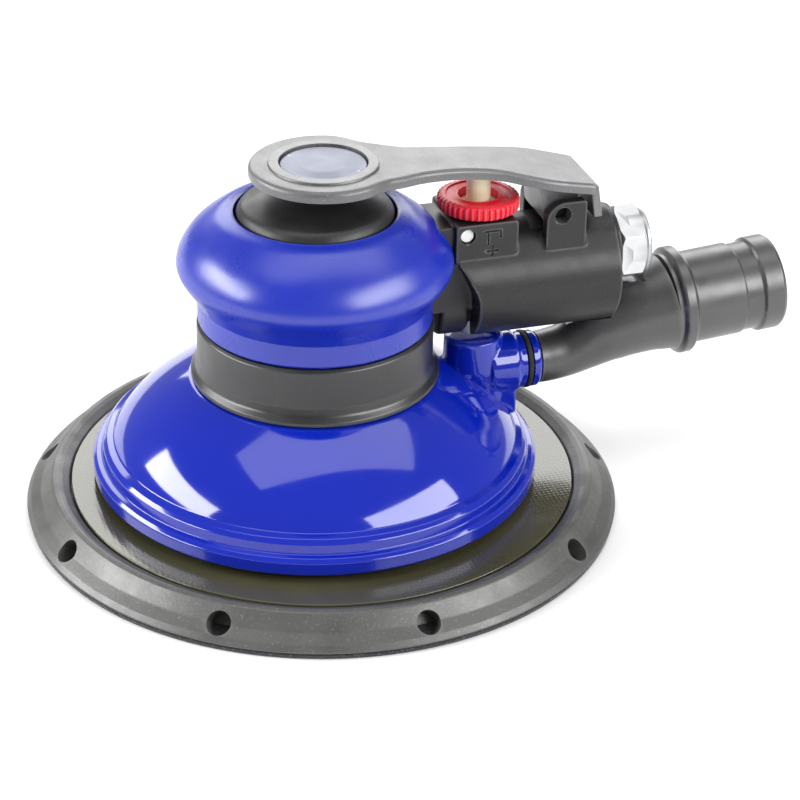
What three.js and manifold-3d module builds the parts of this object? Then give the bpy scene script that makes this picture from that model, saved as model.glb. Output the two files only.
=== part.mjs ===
// Air-driven random orbital sander, built from the work surface up. Millimetres, +Z up.
// The origin is the motor axis on the work surface, and +X points along the handle.
import * as THREE from "three";
import { mergeVertices } from "three/addons/utils/BufferGeometryUtils.js";
import Module from "manifold-3d";

const wasm = await Module();
wasm.setup();

// ---- Driving dimensions -------------------------------------------------------------------------
const GAP = 0.3; // clearance between pieces that sit against each other
const RUN = 0.35; // clearance between pieces that move past each other
const LARGE = 32; // sides of a large round
const MEDIUM = 16; // sides of a medium round
const SMALL = 12; // sides of a small round

// Pad
const PAD_RADIUS = 75;
const PAD_RIDGE = 9; // height of the rim's ridge
const FACING_THICKNESS = 1.2;
const RIM_WIDTH = 11.4; // from the plate's edge to the pad's
const PLATE_RADIUS = PAD_RADIUS - RIM_WIDTH;
const PLATE_THICKNESS = 1.9;
const PLATE_TOP = 7.7;
const DUST_HOLES = 6;
const DUST_HOLE_RADIUS = 5;
const DUST_HOLE_CIRCLE = 40;
const JET_HOLES = 9;
const JET_HOLE_RADIUS = 3;
const JET_HOLE_DEPTH = 6;
const JET_FIRST_ANGLE = -165.6;
const ORBIT = 2.5; // offset of the pad axis from the motor axis
const ORBIT_ANGLE = -57;
const STUD_RADIUS = 4;
const STUD_FLANGE = 14;
const STUD_FLANGE_THICKNESS = 1.6;
const PAD_WASHER = 1;
const SPINDLE_HEAD = 6.7; // from the spindle's foot to its bearing
const HUB_HEADROOM = 6.6; // from the spindle bearing to the lock ring

// Shroud and its vacuum port
const SKIRT_MARGIN = 7.4; // from the skirt in to the plate's edge
const SKIRT_RADIUS = PLATE_RADIUS - SKIRT_MARGIN;
const SKIRT_BOTTOM = 9.8;
const SHROUD_SEAT_MARGIN = 1.2; // shroud's top beyond the lock ring
const SHROUD_WALL = 2.2;
const PORT_DROP = 5; // port axis below the shroud's top
const PORT_RADIUS = 7.3;
const PORT_WALL = 2;
const PORT_REACH = 16.7; // port's end beyond the valve axis

// Lock ring and motor
const RING_HEIGHT = 14.4;
const RING_WALL = 2.6;
const RING_FLOOR = 2.2;
const MOTOR_RADIUS = 23.6; // outer radius of the cylinder liner and end plates
const HOUSING_WALL = 2.6;
const LINER_WALL = 2.1; // liner at its thinnest
const ROTOR_LENGTH = 19;
const LINER_OFFSET = 2.2;
const ROTOR_RADIUS = MOTOR_RADIUS - LINER_WALL - 2 * LINER_OFFSET - GAP;
const LOWER_PLATE = 7.7;
const UPPER_PLATE = 5.6;
const WASHER_THICKNESS = 0.6;
const DOME_HEIGHT = 11; // from the motor cavity to the top of the dome
const VANES = 5;
const VANE_THICKNESS = 1.8;
const VANE_DEPTH = 8;
const SHAFT_RADIUS = 4.7;
const KEY_WIDTH = 2;
const KEY_LENGTH = 12;
const PIN_RADIUS = 1.2;

// Bearings: outer radius, bore radius, height
const LOWER_BEARING = { outer: 12, bore: 6, height: 6.9 };
const UPPER_BEARING = { outer: 9.5, bore: 3.4, height: 4.9 };
const SPINDLE_BEARING = { outer: 13, bore: 6, height: 11.5 };
const BALLS = 6;

// Palm grip
const GRIP_HEIGHT = 28.9;
const GRIP_SWELL = 4.8; // widest part beyond the lock ring
const GRIP_LAP = 6.7; // how far the top reaches in over the housing

// Handle
const HANDLE_RADIUS = 14.2;
const HANDLE_RISE = 5.2; // handle axis above the lock ring
const HANDLE_TAIL = 7.5; // handle's end beyond the exhaust
const STUB_RADIUS = 8.2;
const NECK_WIDTH = 16;
const VALVE_REACH = 12.4; // valve axis beyond the lock ring
const BLOCK_WIDTH = 20;
const BLOCK_TOP = 19.2; // block top above the handle axis
const BLOCK_FOOT = 8.8; // block's lower edge above the handle axis
const INLET_RISE = 5.2; // inlet axis above the handle axis
const INLET_BORE = 4.2;
const INLET_THREAD_RADIUS = 6.6;
const INLET_HEX = 9.6;
const INLET_BOSS = 10.8;
const INLET_BOSS_LENGTH = 1.4;
const INLET_HEX_LENGTH = 6.4;
const INLET_LIP_LENGTH = 1.8;
const EXHAUST_REACH = 7.8; // exhaust beyond the lever pin
const EXHAUST_BORE = 6;

// Valve and regulator
const VALVE_BORE = 6.3;
const SEAT_HEIGHT = 9.5; // seat above the handle axis
const SEAT_THICKNESS = 1.5;
const STEM_RADIUS = 3;
const STEM_ROD = 1.4;
const VALVE_TRAVEL = 1.35;
const WHEEL_RADIUS = 10.3;
const WHEEL_HEIGHT = 3.7;
const WHEEL_TEETH = 40;
const WHEEL_HOLE = 5;
const SPRING_WIRE = 0.4;
const SPRING_TURNS = 5;

// Lever
const PIVOT_REACH = 18.9; // lever pin beyond the valve axis
const PIVOT_RISE = 19.1; // lever pin above the handle axis
const LEVER_PIN = 1.9;
const EAR_THICKNESS = 3.2;
const LEVER_THICKNESS = 2.8;
const LEVER_LIFT = 7.1; // palm disc's top above the dome
const DISC_RADIUS = 18.2;
const DISC_X = 2;
const BADGE_RADIUS = 10.5;
const BADGE_DEPTH = 1.2;
// Lever arm behind the disc: share of the way to the pin, drop below the disc, half width
const LEVER_ARM = [
  [0.23, 0.5, 13.0],
  [0.31, 1.1, 11.3],
  [0.41, 1.6, 8.9],
  [0.53, 2.0, 8.0],
  [0.64, 2.6, 8.0],
  [0.74, 3.5, 8.6],
  [0.84, 4.9, 10.2],
  [0.94, 6.3, 11.3],
  [1.04, 7.8, 10.9],
  [1.135, 9.2, 10.1],
];

// Hose tail, from the port to the mouth: x beyond the port, share of the way up from the port's axis
// to the underside of the handle's barrel, and radius
const TAIL_LEG_SHARES = [
  [0.3, 0, 6.7],
  [3.5, 0.019, 6.8],
  [8.5, 0.103, 7],
  [13.5, 0.308, 7.9],
  [18.5, 0.57, 9.4],
  [23.5, 0.776, 10.4],
  [29.5, 0.944, 11.4],
  [35.5, 1.056, 12.6],
];
// The duct through the leg, which stays under the handle's barrel
const TAIL_DUCT_SHARES = [
  [-0.7, 0, 4.8],
  [3.5, 0.019, 4.9],
  [8.5, 0.093, 5.1],
  [13.5, 0.234, 5.6],
  [19, 0.355, 5.2],
  [23.5, 0.701, 7.4],
  [29.5, 0.925, 9.2],
  [35.5, 1.056, 10.6],
];
const TAIL_TILT = 4.5; // rise of the barrel, degrees
const FLANGE_RADIUS = 14;
const BARREL_RADIUS = 12;
const BARREL_LENGTH = 29.6;
const BARREL_BORE = 9.8;
const NOZZLE_RADIUS = 2.2;
const NOZZLE_BORE = 1.5;

// ---- Derived heights ----------------------------------------------------------------------------
const plateBottom = PLATE_TOP - PLATE_THICKNESS;
const washerBottom = SKIRT_BOTTOM - 0.4 + GAP;
const spindleBottom = washerBottom + PAD_WASHER + GAP;
const spindleBearingBottom = spindleBottom + SPINDLE_HEAD;
const spindleBearingTop = spindleBearingBottom + SPINDLE_BEARING.height;
const ringBottom = spindleBearingTop + HUB_HEADROOM;
const shroudTop = ringBottom - GAP;
const portHeight = shroudTop - PORT_DROP;
const ringFloorTop = ringBottom + RING_FLOOR;
const ringTop = ringBottom + RING_HEIGHT;
const cavityRadius = MOTOR_RADIUS + GAP;
const housingRadius = cavityRadius + HOUSING_WALL;
const ringRadius = housingRadius + GAP + RING_WALL;
const shroudTopRadius = ringRadius + SHROUD_SEAT_MARGIN;
const gripBulge = ringRadius + GRIP_SWELL;
const gripOpening = housingRadius - GRIP_LAP;
const valveX = ringRadius + VALVE_REACH;
const pivotX = valveX + PIVOT_REACH;
const exhaustX = pivotX + EXHAUST_REACH;
const handleEnd = exhaustX + HANDLE_TAIL;
const portEnd = valveX + PORT_REACH;
const lowerPlateBottom = ringFloorTop + GAP;
const lowerPlateTop = lowerPlateBottom + LOWER_PLATE;
const linerBottom = lowerPlateTop + GAP;
const linerTop = linerBottom + ROTOR_LENGTH + 2 * GAP;
const upperPlateBottom = linerTop + GAP;
const upperPlateTop = upperPlateBottom + UPPER_PLATE;
const cavityTop = upperPlateTop + WASHER_THICKNESS + 2 * GAP;
const domeTop = cavityTop + DOME_HEIGHT;
const gripBottom = ringTop + GAP;
const gripTop = gripBottom + GRIP_HEIGHT;
const handleZ = ringTop + HANDLE_RISE;
const blockTop = handleZ + BLOCK_TOP;
const inletZ = handleZ + INLET_RISE;
const tailRoom = handleZ - HANDLE_RADIUS - portHeight;
const fromPort = ([x, share, radius]) => [portEnd + x, portHeight + share * tailRoom, radius];
const tailLeg = TAIL_LEG_SHARES.map(fromPort);
const tailDuct = TAIL_DUCT_SHARES.map(fromPort);
const [tailBarrelX, tailBarrelZ] = tailLeg.at(-1);
const inletEnd = handleEnd + INLET_BOSS_LENGTH + GAP + INLET_HEX_LENGTH + INLET_LIP_LENGTH;
const seatBottom = handleZ + SEAT_HEIGHT;
const seatTop = seatBottom + SEAT_THICKNESS;
const pivotZ = handleZ + PIVOT_RISE;
const leverTop = domeTop + LEVER_LIFT;
const linerBore = ROTOR_RADIUS + LINER_OFFSET + GAP;
const orbitX = ORBIT * Math.cos(THREE.MathUtils.degToRad(ORBIT_ANGLE));
const orbitY = ORBIT * Math.sin(THREE.MathUtils.degToRad(ORBIT_ANGLE));
const lowerBearingBottom = lowerPlateBottom + 0.2;
const upperBearingBottom = upperPlateBottom + 0.9;
const leverUnderStem = leverTop - leverDrop(valveX + STEM_RADIUS) - LEVER_THICKNESS;
const sealSeat = LOWER_BEARING.outer + 1 + GAP;
const snapRadius = sealSeat + 3;
const plugTop = seatBottom - 13;
const valveDiscTop = seatBottom - GAP;
const valveDiscBottom = valveDiscTop - 1.7;

// ---- Shape helpers ------------------------------------------------------------------------------
function radians(degrees) {
  return THREE.MathUtils.degToRad(degrees);
}

// A closed three.js geometry as a solid that can be joined and cut.
function solid(geometry) {
  const bare = geometry.index ? geometry.toNonIndexed() : geometry.clone();
  bare.deleteAttribute("normal");
  bare.deleteAttribute("uv");
  const merged = mergeVertices(bare, 1e-4);
  return new wasm.Manifold(
    new wasm.Mesh({
      numProp: 3,
      vertProperties: merged.attributes.position.array,
      triVerts: new Uint32Array(merged.index.array),
    }),
  );
}

function signedArea(profile) {
  return profile.reduce((sum, [r, z], i) => {
    const [nextR, nextZ] = profile[(i + 1) % profile.length];
    return sum + r * nextZ - nextR * z;
  }, 0);
}

// A turned piece about Z from [radius, height] pairs, which start and end on the axis or make a ring.
function turned(profile, sides = MEDIUM) {
  const ordered = signedArea(profile) > 0 ? profile : [...profile].reverse();
  const points = ordered.map(([r, z]) => new THREE.Vector2(r, z));
  const onAxis = profile[0][0] === 0 && profile.at(-1)[0] === 0;
  if (!onAxis) points.push(points[0].clone());
  return new THREE.LatheGeometry(points, sides).rotateX(Math.PI / 2);
}

function disc(radius, bottom, top, sides = MEDIUM) {
  return turned([[0, bottom], [radius, bottom], [radius, top], [0, top]], sides);
}

function ring(outer, inner, bottom, top, sides = MEDIUM) {
  return turned([[inner, bottom], [outer, bottom], [outer, top], [inner, top]], sides);
}

// Turns a piece made about Z so that it lies along +X at a height.
function alongX(geometry, height) {
  return geometry.rotateY(Math.PI / 2).translate(0, 0, height);
}

function box(x0, x1, y0, y1, z0, z1) {
  const geometry = new THREE.BoxGeometry(x1 - x0, y1 - y0, z1 - z0);
  return geometry.translate((x0 + x1) / 2, (y0 + y1) / 2, (z0 + z1) / 2);
}

// A box across Y with its XZ outline given, each corner as [x, z, radius].
function slab(corners, y0, y1) {
  const shape = new THREE.Shape();
  corners.forEach(([x, z, radius], i) => {
    const [lastX, lastZ] = corners.at(i - 1);
    const [nextX, nextZ] = corners[(i + 1) % corners.length];
    const here = new THREE.Vector2(x, z);
    const back = new THREE.Vector2(lastX, lastZ).sub(here).setLength(radius).add(here);
    const ahead = new THREE.Vector2(nextX, nextZ).sub(here).setLength(radius).add(here);
    if (i === 0) shape.moveTo(back.x, back.y);
    else shape.lineTo(back.x, back.y);
    if (radius > 0) shape.quadraticCurveTo(x, z, ahead.x, ahead.y);
  });
  shape.closePath();
  const extruded = new THREE.ExtrudeGeometry(shape, {
    depth: y1 - y0,
    bevelEnabled: false,
    curveSegments: 4,
  });
  return extruded.rotateX(Math.PI / 2).translate(0, y1, 0);
}

// A skin over rings of points, one after the other, closed by a fan at each end.
function loft(rings) {
  const count = rings[0].length;
  const index = [];
  for (let i = 0; i + 1 < rings.length; i++) {
    for (let j = 0; j < count; j++) {
      const a = i * count + j;
      const b = i * count + ((j + 1) % count);
      index.push(a, b, a + count, b, b + count, a + count);
    }
  }
  const last = (rings.length - 1) * count;
  for (let j = 1; j + 1 < count; j++) {
    index.push(0, j + 1, j);
    index.push(last, last + j, last + j + 1);
  }
  const geometry = new THREE.BufferGeometry();
  geometry.setFromPoints(rings.flat());
  geometry.setIndex(index);
  return geometry;
}

function join(first, ...others) {
  return others.reduce((whole, next) => whole.add(solid(next)), solid(first));
}

function cut(whole, ...tools) {
  return tools.reduce((left, tool) => left.subtract(solid(tool)), whole);
}

function around(count, make, first = 0) {
  return Array.from({ length: count }, (_, i) => {
    return make().rotateZ(radians(first + (360 * i) / count));
  });
}

// ---- Looks --------------------------------------------------------------------------------------
const LOOKS = {
  blackPlastic: { color: 0x1c1c1e, roughness: 0.45, metalness: 0 },
  greyPlastic: { color: 0x3a3a3c, roughness: 0.6, metalness: 0 },
  ringPlastic: { color: 0x242426, roughness: 0.7, metalness: 0 },
  leverPlastic: { color: 0x8d8f93, roughness: 0.55, metalness: 0.1 },
  gripRubber: { color: 0x2a3fbd, roughness: 0.5, metalness: 0 },
  shroudPlastic: { color: 0x1a2fb0, roughness: 0.12, metalness: 0 },
  redPlastic: { color: 0xc01822, roughness: 0.4, metalness: 0 },
  creamPlastic: { color: 0xe8dc9c, roughness: 0.45, metalness: 0 },
  whitePlastic: { color: 0xececec, roughness: 0.5, metalness: 0 },
  aluminium: { color: 0xc8cacc, roughness: 0.3, metalness: 1 },
  steel: { color: 0x9a9ca0, roughness: 0.3, metalness: 1 },
  blackRubber: { color: 0x161616, roughness: 0.85, metalness: 0 },
  foam: { color: 0x4a4a4c, roughness: 0.95, metalness: 0 },
  glassFibre: { color: 0x2b2a1c, roughness: 0.25, metalness: 0 },
  hook: { color: 0x2c2c30, roughness: 1, metalness: 0 },
  vane: { color: 0x5a4632, roughness: 0.8, metalness: 0 },
  felt: { color: 0xb9b4a6, roughness: 1, metalness: 0 },
};

// Turns a solid or a geometry into a named mesh.
function piece(name, shape, look) {
  const whole = shape.isBufferGeometry ? solid(shape) : shape;
  const { vertProperties, triVerts } = whole.getMesh();
  const geometry = new THREE.BufferGeometry();
  geometry.setAttribute("position", new THREE.BufferAttribute(vertProperties, 3));
  geometry.setIndex(new THREE.BufferAttribute(triVerts, 1));
  geometry.computeVertexNormals();
  const mesh = new THREE.Mesh(geometry, new THREE.MeshStandardMaterial(LOOKS[look]));
  mesh.name = name;
  return mesh;
}

// ---- Pad: facing, foam, plate and stud ----------------------------------------------------------
function dustHoles() {
  const hole = () => disc(DUST_HOLE_RADIUS, -1, PAD_RIDGE + 5, SMALL).translate(DUST_HOLE_CIRCLE, 0, 0);
  return around(DUST_HOLES, hole);
}

// The jet holes run inwards and down from the middle of the rim's bevel.
function jetHoles() {
  const wallTop = FACING_THICKNESS + 2;
  const slope = Math.atan2(PAD_RIDGE - wallTop, PAD_RADIUS - PLATE_RADIUS - 4);
  const hole = () =>
    disc(JET_HOLE_RADIUS, -JET_HOLE_DEPTH, 4, SMALL)
      .rotateY(Math.PI / 2 - slope)
      .translate(PAD_RADIUS - 3.6, 0, PAD_RIDGE / 2 + 0.6);
  return around(JET_HOLES, hole, JET_FIRST_ANGLE);
}

function hookFacing() {
  const sheet = solid(disc(PAD_RADIUS - GAP, 0, FACING_THICKNESS, LARGE));
  return piece("hook_facing", cut(sheet, ...dustHoles()), "hook");
}

function padFoam() {
  const bottom = FACING_THICKNESS + GAP;
  const seat = PLATE_RADIUS + GAP;
  const flangePocket = plateBottom - GAP - STUD_FLANGE_THICKNESS - GAP;
  const foam = turned(
    [
      [0, bottom],
      [PAD_RADIUS, bottom],
      [PAD_RADIUS - 1.2, bottom + 1.4],
      [PAD_RADIUS - 6.9, PAD_RIDGE - 0.4],
      [PAD_RADIUS - 7.9, PAD_RIDGE],
      [PAD_RADIUS - 9.2, PAD_RIDGE - 0.3],
      [seat, PLATE_TOP - 0.4],
      [seat, plateBottom - GAP],
      [STUD_FLANGE + GAP, plateBottom - GAP],
      [STUD_FLANGE + GAP, flangePocket],
      [0, flangePocket],
    ],
    LARGE,
  );
  return piece("pad_foam", cut(solid(foam), ...dustHoles(), ...jetHoles()), "foam");
}

function padPlate() {
  const hub = STUD_FLANGE + 3;
  const hubTop = SKIRT_BOTTOM - 0.4;
  const plate = turned(
    [
      [STUD_RADIUS + GAP, plateBottom],
      [PLATE_RADIUS, plateBottom],
      [PLATE_RADIUS, PLATE_TOP],
      [hub + 2, PLATE_TOP],
      [hub, hubTop],
      [STUD_RADIUS + GAP, hubTop],
    ],
    LARGE,
  );
  return piece("pad_plate", cut(solid(plate), ...dustHoles()), "glassFibre");
}

function padStud() {
  const flangeTop = plateBottom - GAP;
  const flangeBottom = flangeTop - STUD_FLANGE_THICKNESS;
  const profile = [
    [0, flangeBottom],
    [STUD_FLANGE, flangeBottom],
    [STUD_FLANGE, flangeTop],
    [STUD_RADIUS, flangeTop],
    [STUD_RADIUS, spindleBearingBottom + 5],
    [STUD_RADIUS - 0.8, spindleBearingBottom + 5.8],
    [0, spindleBearingBottom + 5.8],
  ];
  return piece("pad_stud", turned(profile, SMALL), "steel");
}

function padWasher() {
  const washer = ring(10, STUD_RADIUS + GAP, washerBottom, washerBottom + PAD_WASHER, SMALL);
  return piece("pad_washer", washer, "steel");
}

function spindle() {
  const bottom = spindleBottom;
  const journal = SPINDLE_BEARING.bore - GAP;
  const threadTop = spindleBearingBottom + 6.5;
  const profile = [
    [STUD_RADIUS + GAP, bottom],
    [11, bottom],
    [11, bottom + 3],
    [8, bottom + 3.6],
    [8, spindleBearingBottom - GAP],
    [journal, spindleBearingBottom - GAP],
    [journal, spindleBearingTop],
    [journal - 0.8, spindleBearingTop + 0.8],
    [0, spindleBearingTop + 0.8],
    [0, threadTop],
    [STUD_RADIUS + GAP, threadTop],
  ];
  const ordered = [...profile.slice(9), ...profile.slice(0, 9)];
  const flat = 9.5;
  const across = [box(flat, 12, -12, 12, 0, bottom + 3.2), box(-12, -flat, -12, 12, 0, bottom + 3.2)];
  return piece("spindle", cut(solid(turned(ordered, MEDIUM)), ...across), "steel");
}

// ---- Bearings -----------------------------------------------------------------------------------
// Races with a groove each and one cage that carries the balls, all about Z.
function bearing({ outer, bore, height }, bottom, outerName, innerName, cageName) {
  const pitch = (outer + bore) / 2;
  const ball = (outer - bore) / 4;
  const shoulder = ball * 0.55;
  const groove = ball + RUN - 0.1;
  const middle = bottom + height / 2;
  const half = Math.min(ball + 0.3, height / 2 - 0.3);
  const race = (wall, side) =>
    turned([
      [wall, bottom],
      [wall, bottom + height],
      [pitch + side * shoulder, bottom + height],
      [pitch + side * shoulder, middle + half],
      [pitch + side * groove, middle + half * 0.5],
      [pitch + side * groove, middle - half * 0.5],
      [pitch + side * shoulder, middle - half],
      [pitch + side * shoulder, bottom],
    ], SMALL);
  const cage = ring(pitch + shoulder - 0.3, pitch - shoulder + 0.3, middle - half * 0.4, middle + half * 0.4, 12);
  const balls = around(BALLS, () => new THREE.IcosahedronGeometry(ball).translate(pitch, 0, middle));
  return {
    outerRace: piece(outerName, race(outer, 1), "steel"),
    innerRace: piece(innerName, race(bore, -1), "steel"),
    cage: piece(cageName, join(cage, ...balls), "steel"),
  };
}

// ---- Motor --------------------------------------------------------------------------------------
function lowerEndPlate() {
  const pocket = LOWER_BEARING.outer + GAP;
  const pocketTop = lowerBearingBottom + LOWER_BEARING.height + GAP;
  const profile = [
    [pocket, lowerPlateBottom],
    [MOTOR_RADIUS, lowerPlateBottom],
    [MOTOR_RADIUS, lowerPlateTop],
    [LOWER_BEARING.bore + 2, lowerPlateTop],
    [LOWER_BEARING.bore + 2, pocketTop],
    [pocket, pocketTop],
  ];
  const plate = solid(turned(profile, LARGE));
  return piece("lower_end_plate", cut(plate, pinHole()), "aluminium");
}

function upperEndPlate() {
  const pocket = UPPER_BEARING.outer + GAP;
  const profile = [
    [SHAFT_RADIUS + RUN, upperPlateBottom],
    [MOTOR_RADIUS, upperPlateBottom],
    [MOTOR_RADIUS, upperPlateTop],
    [pocket, upperPlateTop],
    [pocket, upperBearingBottom - GAP],
    [SHAFT_RADIUS + RUN, upperBearingBottom - GAP],
  ];
  const notch = box(ROTOR_RADIUS - 1, MOTOR_RADIUS + 1, -2.5, 2.5, upperPlateBottom - 1, upperPlateTop - 1.2);
  const plate = solid(turned(profile, LARGE));
  return piece("upper_end_plate", cut(plate, notch, pinHole()), "aluminium");
}

// A dowel pin through the thick side of the liner keeps the three motor pieces in line.
function pinPlace() {
  return -(MOTOR_RADIUS + linerBore - LINER_OFFSET) / 2;
}

function pinHole() {
  return disc(PIN_RADIUS + GAP, lowerPlateTop - 3.3, upperPlateBottom + 3.3, SMALL).translate(pinPlace(), 0, 0);
}

function cylinderLiner() {
  const wall = solid(disc(MOTOR_RADIUS, linerBottom, linerTop, LARGE));
  const bore = disc(linerBore, linerBottom - 1, linerTop + 1, LARGE).translate(LINER_OFFSET, 0, 0);
  const port = (angle, height) =>
    box(linerBore - 4, MOTOR_RADIUS + 4, -1.6, 1.6, height, height + 3).rotateZ(radians(angle));
  const middle = (linerBottom + linerTop) / 2;
  const ports = [90, 125].flatMap((angle) => [port(angle, middle - 5), port(angle, middle + 2)]);
  return piece("cylinder_liner", cut(wall, bore, pinHole(), ...ports), "steel");
}

function cylinderPin() {
  const pin = disc(PIN_RADIUS, lowerPlateTop - 3, upperPlateBottom + 3, SMALL);
  return piece("cylinder_pin", pin.translate(pinPlace(), 0, 0), "steel");
}

function vaneSlot() {
  const inner = ROTOR_RADIUS - VANE_DEPTH - 0.5;
  const half = VANE_THICKNESS / 2 + GAP;
  return box(inner, ROTOR_RADIUS + 1, -half, half, linerBottom - 1, linerTop + 1);
}

function keySlot(from, to, extra) {
  const half = KEY_WIDTH / 2 + extra;
  const middle = (linerBottom + linerTop) / 2;
  const end = KEY_LENGTH / 2 + extra;
  return box(from, to, -half, half, middle - end, middle + end).rotateZ(-Math.PI / 2);
}

function rotor() {
  const core = solid(disc(ROTOR_RADIUS, linerBottom + GAP, linerTop - GAP, LARGE));
  const bore = disc(SHAFT_RADIUS + GAP, linerBottom - 1, linerTop + 1, MEDIUM);
  const key = keySlot(0, SHAFT_RADIUS + 1.6 + GAP, GAP).scale(1, 1, 2).translate(0, 0, -(linerBottom + linerTop) / 2);
  return piece("rotor", cut(core, bore, key, ...around(VANES, vaneSlot)), "steel");
}

function rotorKey() {
  return piece("rotor_key", keySlot(SHAFT_RADIUS - 1.2, SHAFT_RADIUS + 1.6, 0), "steel");
}

function vanes() {
  const half = VANE_THICKNESS / 2;
  const tip = ROTOR_RADIUS - 0.2;
  return Array.from({ length: VANES }, (_, i) => {
    const blade = box(tip - VANE_DEPTH, tip, -half, half, linerBottom + 2 * GAP, linerTop - 2 * GAP);
    const vane = piece(`vane_${i + 1}`, blade, "vane");
    vane.rotation.z = radians((360 * i) / VANES);
    return vane;
  });
}

// One forging: the motor shaft above, and the off-centre hub with its counterweight below.
function shaftBalancer() {
  const hubRadius = SPINDLE_BEARING.outer + GAP + 2.6;
  const hubBottom = spindleBearingBottom - 1.8;
  const hubTop = spindleBearingTop + 1.9;
  const shaft = turned([
    [0, hubTop - 1],
    [LOWER_BEARING.bore + 2, hubTop - 1],
    [LOWER_BEARING.bore + 2, lowerBearingBottom - GAP],
    [LOWER_BEARING.bore - GAP, lowerBearingBottom - GAP],
    [LOWER_BEARING.bore - GAP, lowerPlateTop],
    [SHAFT_RADIUS, lowerPlateTop + GAP],
    [SHAFT_RADIUS, upperPlateBottom],
    [UPPER_BEARING.bore - GAP, upperPlateBottom + 0.2],
    [UPPER_BEARING.bore - GAP, upperPlateTop + 1.2],
    [0, upperPlateTop + 1.2],
  ]);
  const hub = disc(hubRadius, hubBottom, hubTop).translate(orbitX, orbitY, 0);
  const weight = ring(27, hubRadius - 2, hubBottom + 2.4, hubTop - 1.2, LARGE);
  const away = box(-40, -3, -40, 40, 0, 60).rotateZ(radians(ORBIT_ANGLE));
  const counterweight = solid(weight).intersect(solid(away));
  const bore = disc(SPINDLE_BEARING.outer + GAP, hubBottom - 1, spindleBearingTop + GAP);
  const relief = disc(SPINDLE_BEARING.bore + 1, spindleBearingTop, spindleBearingTop + 0.8 + GAP);
  const whole = join(shaft, hub).add(counterweight);
  const keySeat = keySlot(SHAFT_RADIUS - 1.2 - GAP, SHAFT_RADIUS + 2, GAP);
  const hollows = [bore, relief].map((tool) => tool.translate(orbitX, orbitY, 0));
  return piece("shaft_balancer", cut(whole, ...hollows, keySeat), "steel");
}

// A spring ring with a gap between its ends.
function snapRing(name, outer, inner, bottom, thickness) {
  const whole = solid(ring(outer, inner, bottom, bottom + thickness, MEDIUM));
  const opening = box(0, outer + 1, -1.5, 1.5, bottom - 1, bottom + thickness + 1);
  return piece(name, cut(whole, opening), "steel");
}

function waveWasher() {
  const bottom = upperPlateTop + GAP;
  const washer = ring(MOTOR_RADIUS - 1, UPPER_BEARING.outer + 3, bottom, bottom + WASHER_THICKNESS, MEDIUM);
  return piece("wave_washer", washer, "steel");
}

function feltSeal() {
  const inner = LOWER_BEARING.bore + 2 + RUN;
  return piece("felt_seal", ring(LOWER_BEARING.outer + 1, inner, ringBottom, ringFloorTop - 0.6), "felt");
}

// ---- Lock ring and shroud -----------------------------------------------------------------------
// Screws up over the housing's skirt, holds the motor stack in, and snaps into the shroud.
function lockRing() {
  const flange = shroudTop - SHROUD_WALL - GAP;
  const profile = [
    [sealSeat, ringBottom - GAP],
    [sealSeat, flange - 1.4],
    [snapRadius, flange - 1.4],
    [snapRadius + 0.8, flange],
    [snapRadius, flange],
    [snapRadius, ringBottom],
    [ringRadius + 1.8, ringBottom],
    [ringRadius + 1.6, ringBottom + 1.2],
    [ringRadius, ringBottom + 3.2],
    [ringRadius, ringTop - 0.8],
    [ringRadius - 0.8, ringTop],
    [housingRadius + GAP, ringTop],
    [housingRadius + GAP, ringFloorTop],
    [sealSeat, ringFloorTop],
  ];
  return piece("lock_ring", turned(profile, LARGE), "ringPlastic");
}

// The shroud's outer outline, from the lip up to its seat under the lock ring.
function shroudOutline(inset) {
  const rise = shroudTop - SKIRT_BOTTOM;
  const steps = [
    [SKIRT_RADIUS, SKIRT_BOTTOM],
    [SKIRT_RADIUS, SKIRT_BOTTOM + 3.4],
    [SKIRT_RADIUS - 0.8, SKIRT_BOTTOM + 4.2],
    [SKIRT_RADIUS - 2.4, SKIRT_BOTTOM + 4.5],
    [SKIRT_RADIUS - 2.6, SKIRT_BOTTOM + 7],
    [SKIRT_RADIUS - 3.6, SKIRT_BOTTOM + 8],
    [SKIRT_RADIUS - 5.4, SKIRT_BOTTOM + 8.6],
  ];
  const curve = new THREE.QuadraticBezierCurve(
    new THREE.Vector2(SKIRT_RADIUS - 5.4, SKIRT_BOTTOM + 8.6),
    new THREE.Vector2(SKIRT_RADIUS - 9.8, SKIRT_BOTTOM + rise * 0.66),
    new THREE.Vector2(shroudTopRadius, shroudTop),
  );
  const slope = curve.getPoints(5).slice(1).map(({ x, y }) => [x, y]);
  return [...steps, ...slope].map(([r, z]) => [r - inset, z - inset * 0.5]);
}

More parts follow.
